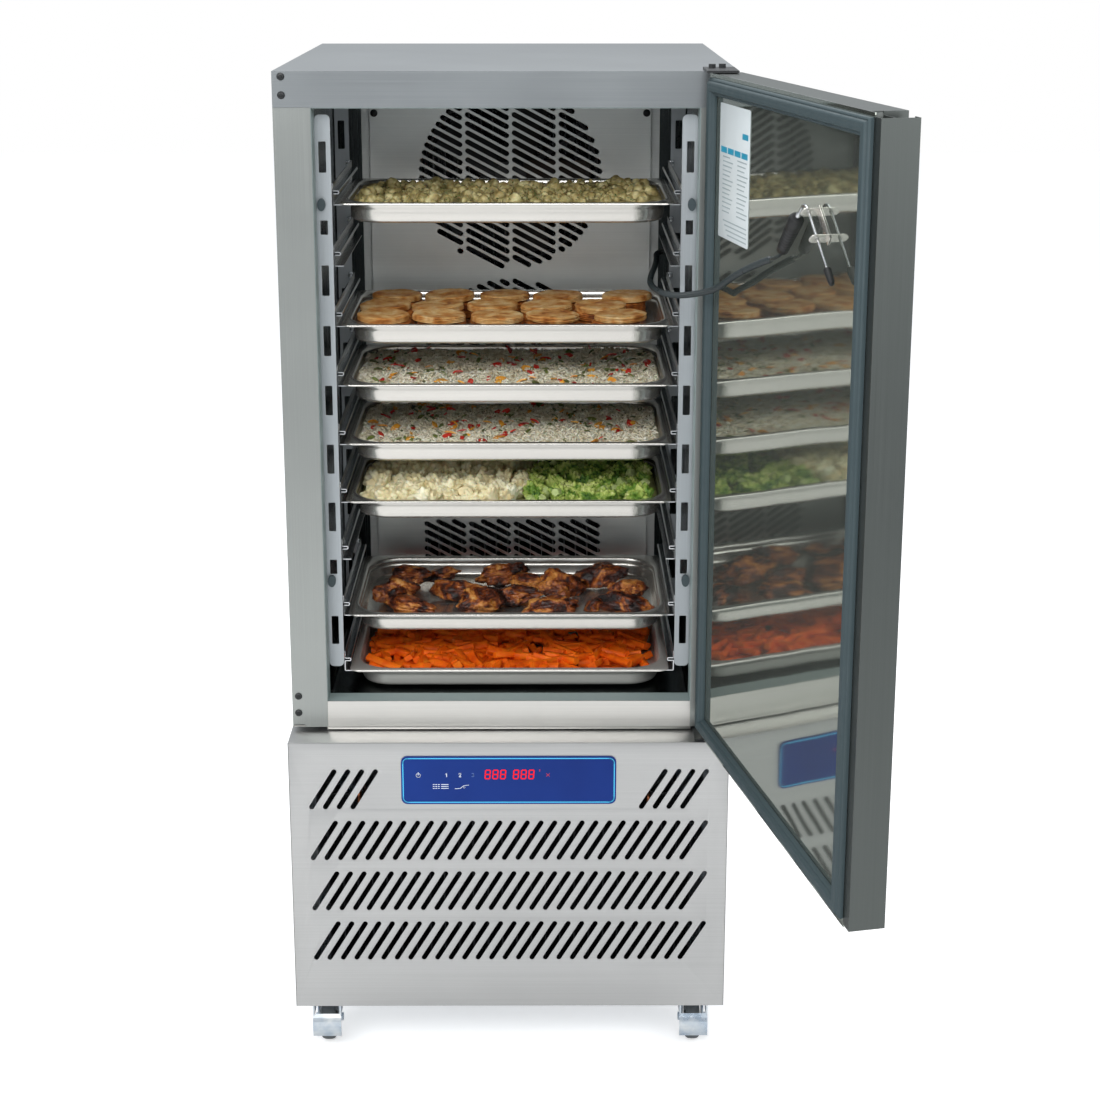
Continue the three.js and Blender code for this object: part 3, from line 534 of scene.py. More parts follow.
EVAPORATOR_BLADES = ("evaporator_fan_blade_upper", "evaporator_fan_blade_lower")
EVAPORATOR_MOTORS = ("evaporator_fan_motor_upper", "evaporator_fan_motor_lower")
HINGE_BRACKETS = ("hinge_bracket_top", "hinge_bracket_bottom")
RACK_KNOBS = tuple("rack_knob_%s_%s" % (side, row) for side in ("left", "right")
                   for row in ("upper", "lower"))
NODE_SURFACES = {  # surface: the nodes of the source that wear it
    "case": ("side_panel_left", "side_panel_right", "rear_panel"),
    "header": ("top_cover",),
    "sill": ("sill_rail",),
    "housing": ("lower_wrap", "lower_front_panel"),
    "liner": ("inner_liner",),
    "cover": ("evaporator_cover",),
    "door": ("door_outer_skin",),
    "mirror": ("door_inner_panel",),
    "zinc": ("brake_pedal_front_left", "brake_pedal_front_right",
             *("caster_fork_" + corner for corner in CORNERS)),
    "frame_zinc": ("base_frame",),
    "black": ("control_box", "power_gland", "probe_tip_cap", "probe_handle",
              *EVAPORATOR_BLADES),
    "motor": ("compressor", "condenser_fan_motor", "condenser_fan_shroud",
              *EVAPORATOR_MOTORS, *HINGE_BRACKETS),
    "slate": RACK_KNOBS,
    "grey": ("breaker_frame", "cable_gland"),
    "rubber": ("door_gasket",),
    "tyre": tuple("caster_wheel_" + corner for corner in CORNERS),
    "foam": ("insulation_foam",),
    "door_foam": ("door_foam",),
    "coil": ("evaporator_coil",),
    "dark_coil": ("condenser_coil",),
    "film": ("control_fascia",),
    "pan": ("probe_holder", "probe_needle",
            *("pan_level_%d" % level for level in PAN_LEVELS)),
    "rack": ("rack_left", "rack_right"),
    "cable": ("probe_cable",),
    "fan": ("condenser_fan_blade",),
}
SOFTENED = {  # width of the small bevel: nodes
    0.0006: ("top_cover", "side_panel_left", "side_panel_right", "rear_panel", "sill_rail",
             "lower_wrap", "door_outer_skin", "door_inner_panel", "control_box", "base_frame",
             "condenser_fan_shroud", "breaker_frame", "inner_liner"),
    0.0008: ("control_fascia", "power_gland", "compressor", "condenser_fan_motor",
             *HINGE_BRACKETS, *EVAPORATOR_MOTORS, *RACK_KNOBS),
    0.0012: ("condenser_fan_blade", *EVAPORATOR_BLADES),
}


def dress_nodes(surfaces):
    """Gives each node of the source its material, and softens its edges."""
    for key, names in NODE_SURFACES.items():
        for name in names:
            for slot in NODES[name].material_slots:
                slot.material = surfaces[key].material
    for width, names in SOFTENED.items():
        for name in names:
            soften(NODES[name], width)


def soften(node, width):
    """A small bevel, so that a node's edges catch the light."""
    modifier = node.modifiers.new("edges", "BEVEL")
    modifier.width = width
    modifier.segments = 2
    modifier.limit_method = "ANGLE"
    modifier.angle_limit = math.radians(50)
    modifier.use_clamp_overlap = True


# ------------------------------------------------------------------ pans
PAN_ROWS = (  # inset from the rim's edge, drop under the rim, corner radius
    (0.0330, 0.0345, 0.038), (0.0230, 0.0341, 0.046), (0.0182, 0.0322, 0.050),
    (0.0160, 0.0284, 0.053), (0.0149, 0.0160, 0.054), (0.0142, 0.0112, 0.055),
    (0.0126, 0.0098, 0.056), (0.0121, 0.0050, 0.056), (0.0110, 0.0014, 0.057),
    (0.0014, 0.0012, 0.013), (0.0011, None, 0.0132), (0.0000, None, 0.0142),
    (0.0000, 0.0012, 0.0142), (0.0005, 0.0004, 0.0138), (0.0014, 0.0000, 0.013),
    (0.0100, 0.0000, 0.057), (0.0120, 0.0006, 0.057), (0.0132, 0.0024, 0.0565),
    (0.0135, 0.0092, 0.056), (0.0152, 0.0104, 0.055), (0.0160, 0.0150, 0.054),
    (0.0172, 0.0274, 0.053), (0.0192, 0.0311, 0.050), (0.0236, 0.0329, 0.046),
    (0.0335, 0.0333, 0.038),
)


def edge_drop(x):
    """How far the rolled rim turns down: less at the sides, which lie on the slides."""
    t = min(1.0, max(0.0, (abs(x) - 0.236) / 0.018))
    return 0.0062 * (1 - t) + 0.0024 * t


def pan_part(level):
    """A deep-drawn pan: rolled rim, stacking shoulder, drafted walls and round corners."""
    top = rim_height(level)
    rings = []
    for inset, drop, corner in PAN_ROWS:
        outline = rounded_outline(-PAN_HALF + inset, PAN_HALF - inset, PAN_FRONT + inset,
                                  PAN_BACK - inset, corner, 10)
        rings.append([(x, y, top - (edge_drop(x) if drop is None else drop))
                      for x, y in outline])
    return loft(rings)


def make_pans(surfaces):
    """The seven pans; the lowest, close over the sill, wears a paler, partly matt copy of the pan
    steel: painted light on its front wall.
    """
    for level in PAN_LEVELS:
        surface = surfaces["pan_painted_light" if level == PAN_LEVELS[-1] else "pan"]
        add_piece("pan_%d" % level, pan_part(level), surface, "pan_%d" % level, 50,
                  "bright_steel", "pan_level_%d" % level)


# ------------------------------------------------------------------ food
FOOD_HALF = 0.2475
FOOD_FRONT = 0.0675
FOOD_BACK = 0.3575
FOOD_CORNER = 0.053
FOOD_MIDDLE = (FOOD_FRONT + FOOD_BACK) / 2
BED_STEPS = 40


def add_food(name, part, surface, level, sharp=35):
    """A shown piece of food, which rides on the pan of its level."""
    add_piece("food_" + name, part, surface, "pan_%d" % level, sharp)


def inside_pan(x, y, margin):
    """True if (x, y) is inside the tub, at least margin from its wall."""
    half = FOOD_HALF - margin
    front = FOOD_FRONT + margin
    back = FOOD_BACK - margin
    if not (-half < x < half and front < y < back):
        return False
    corner = max(FOOD_CORNER - margin, 0.001)
    dx = max(0.0, abs(x) - (half - corner))
    dy = max(0.0, front + corner - y, y - (back - corner))
    return dx * dx + dy * dy < corner * corner


def bed_height(bed, x, y):
    """Height over the pan's floor of a bed of food: (level, seed, mean, swell)."""
    _, seed, mean, swell = bed
    slow = noise.noise(Vector((x * 9, y * 9, seed)))
    quick = noise.noise(Vector((x * 45, y * 45, seed + 5)))
    return mean + swell * (slow + 0.35 * quick)


def bed_part(bed, lumps, lump_scale):
    """The filled surface of a pan of food, wall to wall, closed underneath."""
    level, seed = bed[:2]
    floor = pan_floor(level)
    outline = rounded_outline(-FOOD_HALF, FOOD_HALF, FOOD_FRONT, FOOD_BACK, FOOD_CORNER)
    dense = []
    for (x, y), (x2, y2) in zip(outline, outline[1:] + outline[:1]):
        parts = max(1, int(math.hypot(x2 - x, y2 - y) / 0.009))
        dense += [(x + (x2 - x) * k / parts, y + (y2 - y) * k / parts) for k in range(parts)]
    rings = []
    for step in range(1, BED_STEPS + 1):
        share = step / BED_STEPS
        ring = []
        for x, y in dense:
            px, py = x * share, FOOD_MIDDLE + (y - FOOD_MIDDLE) * share
            lump = noise.voronoi(Vector((px, py, seed)) * lump_scale)[0][0]
            z = bed_height(bed, px, py) + lumps * (0.6 - lump)
            ring.append((px, py, floor + max(0.003, z)))
        rings.append(ring)
    inward = 0.97
    rings.append([(x * inward, FOOD_MIDDLE + (y - FOOD_MIDDLE) * inward, floor + 0.004)
                  for x, y, _ in rings[-1]])
    return loft(rings)


def food_spots(count, seed, margin, gap=0.0):
    """Seeded random places inside a pan, at least gap apart."""
    picker = random.Random(seed)
    spots = []
    tries = 0
    while len(spots) < count and tries < count * 60:
        tries += 1
        x = picker.uniform(-FOOD_HALF, FOOD_HALF)
        y = picker.uniform(FOOD_FRONT, FOOD_BACK)
        near = gap and any(math.hypot(x - a, y - b) < gap for a, b in spots)
        if inside_pan(x, y, margin) and not near:
            spots.append((x, y))
    return spots


def placement(x, y, z, picker, size, tilt):
    """A matrix with a random turn, mostly about the upright axis."""
    turn = Matrix.Rotation(picker.uniform(-math.pi, math.pi), 4, "Z")
    lean = Matrix.Rotation(picker.uniform(-tilt, tilt), 4, "X")
    roll = Matrix.Rotation(picker.uniform(-tilt, tilt), 4, "Y")
    return Matrix.Translation((x, y, z)) @ turn @ lean @ roll @ Matrix.Scale(size, 4)


def strewn(bed, spots, picker, rise, sizes, tilt):
    """Placements on a bed, each with a drawn rise over it, size and turn."""
    places = []
    for x, y in spots:
        z = pan_floor(bed[0]) + bed_height(bed, x, y) + picker.uniform(*rise)
        places.append(placement(x, y, z, picker, picker.uniform(*sizes), tilt))
    return places


def scattered(shape, placements):
    """One part made of copies of a shape, each placed by a 4x4 matrix."""
    verts, faces = shape
    base = np.array([(x, y, z, 1.0) for x, y, z in verts])
    all_verts, all_faces = [], []
    for n, matrix in enumerate(placements):
        placed = base @ np.array(matrix).T
        all_verts.extend(map(tuple, placed[:, :3]))
        start = n * len(verts)
        all_faces.extend(tuple(start + i for i in face) for face in faces)
    return all_verts, all_faces


def ball(subdivisions, reshape):
    """An icosphere whose points are moved by reshape(direction)."""
    bm = bmesh.new()
    bmesh.ops.create_icosphere(bm, subdivisions=subdivisions, radius=1.0)
    for vert in bm.verts:
        vert.co = reshape(vert.co.normalized())
    return drained(bm)


def food_surface(name, stops, scale, roughness=0.45, bump=0.0012, bump_scale=220.0, **sockets):
    """A cooked surface: blotched colours, a fine broken texture and some shine."""
    made = Surface(name, stops[0][1], roughness, **sockets)
    made.colour(made.noise(scale, 5.0, distortion=0.4), *stops)
    made.gloss(made.noise(scale * 1.7, 3.0), roughness - 0.12, roughness + 0.2)
    made.bump(made.noise(bump_scale, 4.0), bump)
    return made


def potato_chunk(direction):
    facets = noise.voronoi(direction * 1.3 + Vector((4, 2, 7)))[0][0]
    return direction * (0.72 + 0.4 * facets)


def herb_flake(direction):
    return Vector((direction.x, direction.y * 0.6, direction.z * 0.3))


def make_potato():
    """Level 1: crushed potato with herbs."""
    bed = (1, 3.0, 0.0270, 0.006)
    pale = food_surface("crushed_potato", [(0.3, srgb(96, 82, 42)), (0.5, srgb(166, 150, 96)),
                                           (0.7, srgb(216, 203, 152))], 60.0, 0.5, 0.0018,
                        160.0, Subsurface_Weight=0.1)
    herbs = food_surface("herb_flecks", [(0.3, srgb(62, 74, 32)), (0.7, srgb(112, 122, 60))],
                         90.0)
    add_food("potato_bed", bed_part(bed, 0.006, 90.0), pale, 1, 180)
    picker = random.Random(11)
    chunks = strewn(bed, food_spots(420, 12, 0.014), picker, (0.0005, 0.004),
                    (0.004, 0.0075), 1.2)
    chunks += strewn(bed, food_spots(95, 14, 0.014), picker, (0.0005, 0.004),
                     (0.0085, 0.0135), 1.2)
    add_food("potato_chunks", scattered(ball(2, potato_chunk), chunks), pale, 1, 40)
    flakes = strewn(bed, food_spots(240, 13, 0.012), picker, (0.005, 0.009),
                    (0.0014, 0.003), 1.0)
    add_food("potato_herbs", scattered(ball(1, herb_flake), flakes), herbs, 1)


PASTRY_RADIUS = 0.0425
PASTRY_SIDES = 72
PASTRY_LAYERS = 4
LAYER_PITCH = 0.0023
PASTRY_ROWS = (  # Y and the middles' X of the discs that show
    (0.1175, (-0.203, -0.112, -0.018, 0.072, 0.182)),
    (0.2110, (-0.205, -0.118, -0.027, 0.062, 0.152)),
    (0.3040, (-0.193, -0.103, -0.008, 0.082, 0.200)),
)
HIDDEN_LAYERS = (-0.0325, -0.0190)  # heights over the rim of the discs underneath


def pastry_rows(seed):
    """Shares of the radius and heights of a pastry's rings, from under it to its middle."""
    rows = [(0.55, 0.0), (0.92, 0.0)]
    for layer in range(PASTRY_LAYERS):
        low = 0.0004 + layer * LAYER_PITCH
        pull = 0.035 * noise.noise(Vector((seed, layer * 3.7, 1.0)))
        rows += [(0.925 + pull, low), (0.99 + pull, low + 0.0005), (1.0 + pull, low + 0.0012),
                 (0.985 + pull, low + 0.0018), (0.925 + pull, low + 0.0022)]
    top = 0.0004 + PASTRY_LAYERS * LAYER_PITCH
    rows += [(0.95, top), (0.90, top + 0.0008), (0.80, top + 0.0006), (0.66, top + 0.0002),
             (0.52, top + 0.0004), (0.38, top), (0.22, top + 0.0003), (0.07, top + 0.0003)]
    return rows


def pastry_part(seed):
    """A flat round pastry of thin layers that stand apart at its side."""
    rings = []
    for share, height in pastry_rows(seed):
        ring = []
        for angle in around(PASTRY_SIDES):
            where = Vector((math.cos(angle), math.sin(angle), seed))
            ragged = noise.noise(where * 7 + Vector((0, 0, height * 900)))
            reach = PASTRY_RADIUS * share * (1 + 0.045 * noise.noise(where * 1.3) + 0.014 * ragged)
            x, y = reach * math.cos(angle), reach * math.sin(angle)
            z = height * (1 + 0.14 * noise.noise(Vector((x * 30, y * 30, seed + 9))))
            z += 0.0007 * noise.noise(Vector((x * 170, y * 170, seed))) * (height > 0.008)
            ring.append((x, y, max(0.0, z)))
        rings.append(ring)
    return loft(rings)


def pastry_crust():
    """Pale golden tops that go brown in patches."""
    return food_surface("baked_pastry", [(0.28, srgb(150, 84, 30)), (0.42, srgb(200, 134, 66)),
                                         (0.56, srgb(222, 176, 112)), (0.72, srgb(236, 206, 156))],
                        46.0, 0.5, 0.0016, 260.0, Subsurface_Weight=0.06)


def pastry_bake():
    """The dark edges of the layers under the crust."""
    return food_surface("baked_layers", [(0.3, srgb(112, 54, 18)), (0.55, srgb(186, 110, 46)),
                                         (0.75, srgb(214, 152, 84))], 90.0, 0.5, 0.0012, 300.0)


def make_pastries():
    """Level 3: round flat pastries, in three rows over two layers that they hide."""
    top = rim_height(3)
    picker = random.Random(5)
    flat = Matrix.Diagonal((0.93, 0.93, 1.3, 1.0))
    shown, hidden = [], []
    for x, y in ((x, y) for y, columns in PASTRY_ROWS for x in columns):
        lean = Matrix.Rotation(math.radians(picker.uniform(-1.0, 2.5)), 4, "X")
        tilt = Matrix.Rotation(math.radians(picker.uniform(-2.5, 2.5)), 4, "Y")
        spin = Matrix.Rotation(picker.uniform(0, 6), 4, "Z")
        where = Matrix.Translation((x, y, top - 0.0042 + picker.uniform(-0.0008, 0.0010)))
        shown.append(moved(pastry_part(picker.uniform(0, 50)), where @ lean @ tilt @ spin))
        for low in HIDDEN_LAYERS:
            under = Matrix.Translation((x * 0.96, 0.2115 + (y - 0.2115) * 0.96, top + low))
            hidden.append(moved(pastry_part(picker.uniform(0, 50)), under @ flat @ spin))
    add_food("pastries", joined(*shown), pastry_crust(), 3, 50)
    add_food("pastries_under", joined(*hidden), pastry_bake(), 3, 50)


STRIP_STEPS = 6
STRIP_THICK = 0.0011
STRIP_CURL = 1.6


def strip_part(length, width):
    """A curled strip of vegetable."""
    rings = []
    for step in range(STRIP_STEPS + 1):
        t = step / STRIP_STEPS - 0.5
        angle = t * STRIP_CURL
        centre = Vector((length * t, 0, -length * 0.25 * STRIP_CURL * t * t))
        half = width / 2 * (1 - 1.4 * t * t)
        normal = Vector((math.sin(angle), 0, math.cos(angle)))
        rings.append([tuple(centre + Vector((0, s * half, 0)) + normal * (STRIP_THICK * u))
                      for s, u in ((-1, -1), (1, -1), (1, 1), (-1, 1))])
    return loft(rings)


PEPPERS = {  # colour: dark and light stops, how many, length, width
    "red": ([(0.3, srgb(156, 22, 20)), (0.7, srgb(222, 66, 48))], 46, 0.017, 0.0095),
    "yellow": ([(0.3, srgb(200, 120, 30)), (0.7, srgb(238, 180, 70))], 34, 0.018, 0.0105),
    "green": ([(0.3, srgb(66, 74, 34)), (0.7, srgb(124, 134, 70))], 72, 0.015, 0.0060),
}


def make_rice(level, seed):
    """Levels 4 and 5: vegetable rice, loose grains with peppers and herbs."""
    bed = (level, seed, 0.0255, 0.008)
    rice = food_surface("rice_%d" % level, [(0.28, srgb(188, 172, 138)), (0.5, srgb(228, 217, 192)),
                                            (0.7, srgb(246, 240, 224))], 70.0, 0.4, 0.0006, 700.0,
                        Subsurface_Weight=0.15)
    add_food("rice_bed_%d" % level, bed_part(bed, 0.004, 110.0), rice, level, 180)
    picker = random.Random(seed)
    grain = lathe([(-0.5, 0.05), (-0.4, 0.14), (-0.15, 0.19), (0.15, 0.19), (0.4, 0.14),
                   (0.5, 0.05)], (0, 0, 0), (1, 0, 0), 6)
    places = strewn(bed, food_spots(5200, seed + 1, 0.003), picker, (0.0002, 0.0044),
                    (0.006, 0.0085), 0.9)
    add_food("rice_grains_%d" % level, scattered(grain, places), rice, level, 180)
    for colour, (stops, count, length, width) in PEPPERS.items():
        skin = food_surface("pepper_%s_%d" % (colour, level), stops, 70.0, 0.3, 0.0004)
        places = strewn(bed, food_spots(count, seed + len(colour), 0.012), picker,
                        (0.003, 0.006), (0.6, 1.2), 0.7)
        add_food("pepper_%s_%d" % (colour, level), scattered(strip_part(length, width), places),
                 skin, level)


def floret_part(seed, lumps, fine):
    """A floret: a crown of a few big knobs, each of small ones, on a cut stem."""
    offset = Vector((seed * 3.1, seed * 1.7, seed))

    def reshape(direction):
        crown = max(0.0, min(1.0, (direction.z + 0.35) / 0.45))
        cell = noise.voronoi(direction * lumps + offset)[0][0]
        small = noise.voronoi(direction * lumps * fine + offset)[0][0]
        point = direction * (1 + crown * (0.62 * (0.42 - cell) + 0.15 * (0.5 - small)))
        squeeze = 0.34 + 0.66 * crown
        return Vector((point.x * squeeze, point.y * squeeze, point.z * (1.15 - 0.25 * crown)))

    return ball(5, reshape)


STALK_CUTS = ((1, 0, 0), (-1, 0.2, 0), (0.3, 1, 0.2), (0, -1, 0.3), (0.2, 0, 1), (0, 0.3, -1))


def cut_stalk(direction):
    """A rough block with a few flat cuts."""
    reach = 1.0
    for cut in STALK_CUTS:
        towards = direction.dot(Vector(cut).normalized())
        if towards > 0.01:
            reach = min(reach, 0.72 / towards)
    return direction * reach


def floret_surfaces():
    """The crowns' and the stalks' surfaces of both vegetables."""
    white = food_surface("cauliflower", [(0.28, srgb(190, 168, 116)), (0.45, srgb(234, 220, 176)),
                                         (0.7, srgb(250, 243, 214))], 34.0, 0.5, 0.0012, 300.0,
                         Subsurface_Weight=0.12)
    green = food_surface("broccoli", [(0.30, srgb(36, 78, 20)), (0.43, srgb(104, 140, 44)),
                                      (0.55, srgb(172, 188, 92)), (0.70, srgb(218, 222, 154))],
                         50.0, 0.45, 0.0018, 380.0)
    cream = food_surface("cauliflower_stalks", [(0.3, srgb(226, 204, 146)),
                                                (0.7, srgb(250, 238, 200))], 30.0, 0.4)
    lime = food_surface("broccoli_stalks", [(0.3, srgb(150, 176, 88)), (0.7, srgb(214, 224, 160))],
                        40.0, 0.4)
    return (white, cream), (green, lime)


FLORETS = (  # name, from and to X, knobs, their fineness, sizes, seed
    ("cauliflower", (-0.240, 0.020), 2.0, 3.6, (0.021, 0.029), 21),
    ("broccoli", (0.034, 0.240), 2.8, 3.4, (0.017, 0.025), 22),
)


def crowns_part(kind, picker):
    """Florets that fill their part of the pan."""
    _, (x0, x1), lumps, fine, sizes, seed = kind
    spots = [(x, y) for x, y in food_spots(420, seed, 0.022, 0.0290) if x0 < x < x1]
    parts = []
    for n, (x, y) in enumerate(spots):
        size = picker.uniform(*sizes)
        if not inside_pan(x, y, size * 0.98):
            size *= 0.84
        z = pan_floor(6) + 0.004 + size * 0.66 + picker.uniform(0, 0.009)
        parts.append(moved(floret_part(n + seed, lumps, fine),
                           placement(x, y, z, picker, size, 0.9)))
    return joined(*parts)


def stalks_part(kind, picker):
    """Cut stalks between the florets."""
    _, (x0, x1), _, _, (small, large), seed = kind
    places = []
    for x, y in food_spots(90, seed + 5, 0.016, 0.017):
        if x0 - 0.006 < x < x1:
            z = pan_floor(6) + picker.uniform(0.024, 0.033)
            size = picker.uniform(small * 0.36, large * 0.48)
            places.append(placement(x, y, z, picker, size, 1.4))
    return scattered(ball(3, cut_stalk), places)


def make_florets():
    """Level 6: cauliflower on the left, broccoli on the right."""
    for (crowns, stalks), kind in zip(floret_surfaces(), FLORETS):
        picker = random.Random(kind[-1])
        add_food(kind[0], crowns_part(kind, picker), crowns, 6, 180)
        add_food(kind[0] + "_stalks", stalks_part(kind, picker), stalks, 6, 30)
    bed = food_surface("floret_bed", [(0.3, srgb(100, 104, 54)), (0.7, srgb(166, 168, 104))], 30.0)
    add_food("floret_bed", bed_part((6, 8.0, 0.014, 0.005), 0.005, 160.0), bed, 6, 180)


def meat_part(seed, long, thick):
    """A roast joint: a rounded thick end that tapers, its skin in folds and blisters."""
    offset = Vector((seed, seed * 2.3, 1.0))

    def reshape(direction):
        taper = 1 - 0.36 * max(0.0, direction.x)
        swell = 1 + 0.42 * noise.noise(direction * 1.5 + offset)
        along = Vector((direction.x * 3, direction.y * 8, direction.z * 8))
        folds = 0.5 - abs(noise.noise(along + offset)) * 2.2
        blisters = 0.45 - noise.voronoi(direction * 5.0 + offset)[0][0]
        fine = noise.noise(direction * 21 + offset)
        reach = swell + 0.11 * folds + 0.13 * blisters + 0.045 * fine
        return Vector((direction.x * long * reach, direction.y * thick * taper * reach,
                       direction.z * thick * 0.60 * taper * reach))

    return ball(5, reshape)


CHICKEN_PLACES = (  # X, Y, turn in degrees, half length, half width
    (-0.178, 0.296, -14, 0.040, 0.030), (-0.120, 0.314, 10, 0.027, 0.022),
    (-0.192, 0.205, 40, 0.040, 0.033), (-0.166, 0.128, -22, 0.044, 0.027),
    (-0.090, 0.222, -16, 0.043, 0.027), (-0.014, 0.300, 12, 0.044, 0.030),
    (0.034, 0.262, -34, 0.032, 0.024), (-0.046, 0.160, 38, 0.044, 0.031),
    (0.008, 0.196, -8, 0.040, 0.026), (0.086, 0.244, 24, 0.041, 0.032),
    (0.070, 0.120, 6, 0.048, 0.028), (0.158, 0.290, -26, 0.043, 0.031),
    (0.202, 0.218, 14, 0.035, 0.027), (0.196, 0.136, -10, 0.044, 0.029),
    (0.142, 0.160, 80, 0.022, 0.015),
)


def roast_skin():
    """Golden brown skin with burnt patches and a greasy shine."""
    skin = Surface("roast_skin", srgb(150, 82, 38), 0.36, Coat_Weight=0.3, Coat_Roughness=0.24)
    patches = skin.noise(26.0, 6.0, roughness=0.68, distortion=1.0)
    skin.colour(patches, (0.38, srgb(16, 8, 7)), (0.46, srgb(74, 28, 13)),
                (0.53, srgb(154, 76, 28)), (0.60, srgb(214, 140, 64)), (0.73, srgb(234, 182, 112)))
    skin.gloss(skin.noise(60.0, 3.0), 0.2, 0.5)
    skin.bump(skin.noise(130.0, 5.0, roughness=0.7, distortion=0.8), 0.0034)
    skin.bump(patches, 0.0020)
    return skin


def make_chicken():
    """Level 8: roast chicken pieces, golden to burnt, on the bare pan."""
    floor = pan_floor(8)
    picker = random.Random(31)
    parts = []
    for n, (x, y, turn, long, thick) in enumerate(CHICKEN_PLACES):
        place = Matrix.Translation((x, y, floor + thick * 0.62 + picker.uniform(0.001, 0.005))) \
            @ Matrix.Rotation(math.radians(turn), 4, "Z") \
            @ Matrix.Rotation(picker.uniform(-0.18, 0.18), 4, "Y") \
            @ Matrix.Rotation(picker.uniform(-0.4, 0.4), 4, "X")
        parts.append(moved(meat_part(3 + n * 1.9, long, thick), place))
    add_food("chicken", joined(*parts), roast_skin(), 8, 180)


BATON_OUTLINE = ((-1, -0.8), (-0.8, -1), (0.8, -1), (1, -0.8), (1, 0.8), (0.8, 1), (-0.8, 1),
                 (-1, 0.8))
BATON_STEPS = 4
CARROT_LAYERS = ((90, 0.008), (150, 0.0175), (190, 0.026))  # how many sticks, height


def baton_part(seed, length):
    """A cut carrot stick with soft edges, slightly bent and tapered."""
    picker = random.Random(seed)
    bend = picker.uniform(-0.0022, 0.0022)
    taper = picker.uniform(0.62, 0.95)
    wide = picker.uniform(0.0054, 0.0078)
    tall = picker.uniform(0.0046, 0.0064)
    rings = []
    for step in range(BATON_STEPS + 1):
        t = step / BATON_STEPS
        size = 1 - (1 - taper) * t
        shift = bend * math.sin(math.pi * t)
        rings.append([(length * (t - 0.5), y * wide * size + shift, z * tall * size)
                      for y, z in BATON_OUTLINE])
    return loft(rings)


def lifted(part, floor):
    """A part, raised if its lowest point is under the floor."""
    verts, faces = part
    sunk = max(0.0, floor - min(z for _, _, z in verts))
    return [(x, y, z + sunk) for x, y, z in verts], faces


def kept_inside(x, y, turn, length):
    """A stick's middle moved away from the walls, or None where an end would still be too near."""
    reach = length / 2 * abs(math.cos(turn)) + 0.007
    x = max(-FOOD_HALF + reach, min(FOOD_HALF - reach, x))
    reach = length / 2 * abs(math.sin(turn)) + 0.009
    y = max(FOOD_FRONT + reach, min(FOOD_BACK - reach, y))
    half = Vector((math.cos(turn), math.sin(turn))) * length / 2
    if all(inside_pan(x + end * half.x, y + end * half.y, 0.007) for end in (-1, 1)):
        return x, y
    return None


def make_carrots():
    """Level 9: carrot sticks lying every way."""
    floor = pan_floor(9)
    flesh = food_surface("carrot", [(0.25, srgb(202, 70, 4)), (0.5, srgb(238, 100, 8)),
                                    (0.75, srgb(250, 132, 26))], 40.0, 0.5, 0.0004, 500.0,
                         Subsurface_Weight=0.08, Specular_IOR_Level=0.25)
    picker = random.Random(41)
    parts = []
    for layer, (count, height) in enumerate(CARROT_LAYERS):
        for n, (x, y) in enumerate(food_spots(count, 42 + layer, 0.016)):
            length = picker.uniform(0.030, 0.070)
            turn = picker.gauss(0, 1.0)
            middle = kept_inside(x, y, turn, length)
            if not middle:
                continue
            lean = min(0.16, 0.020 / length)
            place = Matrix.Translation((*middle, floor + height + picker.uniform(-0.002, 0.002))) \
                @ Matrix.Rotation(turn, 4, "Z") \
                @ Matrix.Rotation(picker.uniform(-lean, lean), 4, "Y") \
                @ Matrix.Rotation(picker.uniform(-0.7, 0.7), 4, "X")
            stick = moved(baton_part(layer * 1000 + n, length), place)
            parts.append(lifted(stick, floor + 0.0004))
    add_food("carrots", joined(*parts), flesh, 9, 60)


def make_food():
    make_potato()
    make_pastries()
    make_rice(4, 40)
    make_rice(5, 60)
    make_florets()
    make_chicken()
    make_carrots()


# ------------------------------------------------------------------ racks
UPRIGHT_OUTER = 0.297
UPRIGHT_WIDTH = 0.024
UPRIGHT_BOTTOM = 0.667
UPRIGHT_TOP = 1.571
UPRIGHT_SHEET = 0.002
UPRIGHT_FRONT = 0.044
UPRIGHT_REAR = 0.392
SLOT_OVER_RIM = (0.048, 0.097)  # from and to, over the rim of the pan of the same level
SHORTENED_TOP = {2: 0.026}  # level: how much its slot ends lower
SHORTENED_FOOT = {8: 0.024}  # level: how much its slot begins higher
RUNNER_FRONT = 0.058
RUNNER_REAR = 0.385
RUNNER_PATH = (  # the folded sheet's middle line: X, and Z over the pan's rim
    (0.2580, -0.00355), (0.27275, -0.00355), (0.27275, 0.01375), (0.2631, 0.01375),
    (0.2631, 0.01825), (0.27275, 0.01825), (0.27275, 0.0300),
)


def upright_strip(outer, y):
    """A strip on edge of the cavity, with round ends and its row of slots."""
    outline = rounded_outline(outer - UPRIGHT_WIDTH, outer, UPRIGHT_BOTTOM, UPRIGHT_TOP, 0.008, 5)
    foot, top = SLOT_OVER_RIM
    holes = []
    for level in SLIDE_LEVELS:
        high = rim_height(level) + top - SHORTENED_TOP.get(level, 0)
        low = rim_height(level) + foot + SHORTENED_FOOT.get(level, 0)
        holes.append(rounded_outline(outer - 0.017, outer - 0.005, low, high, 0.0015, 2))
    return standing_plate(outline, holes, UPRIGHT_SHEET, y)


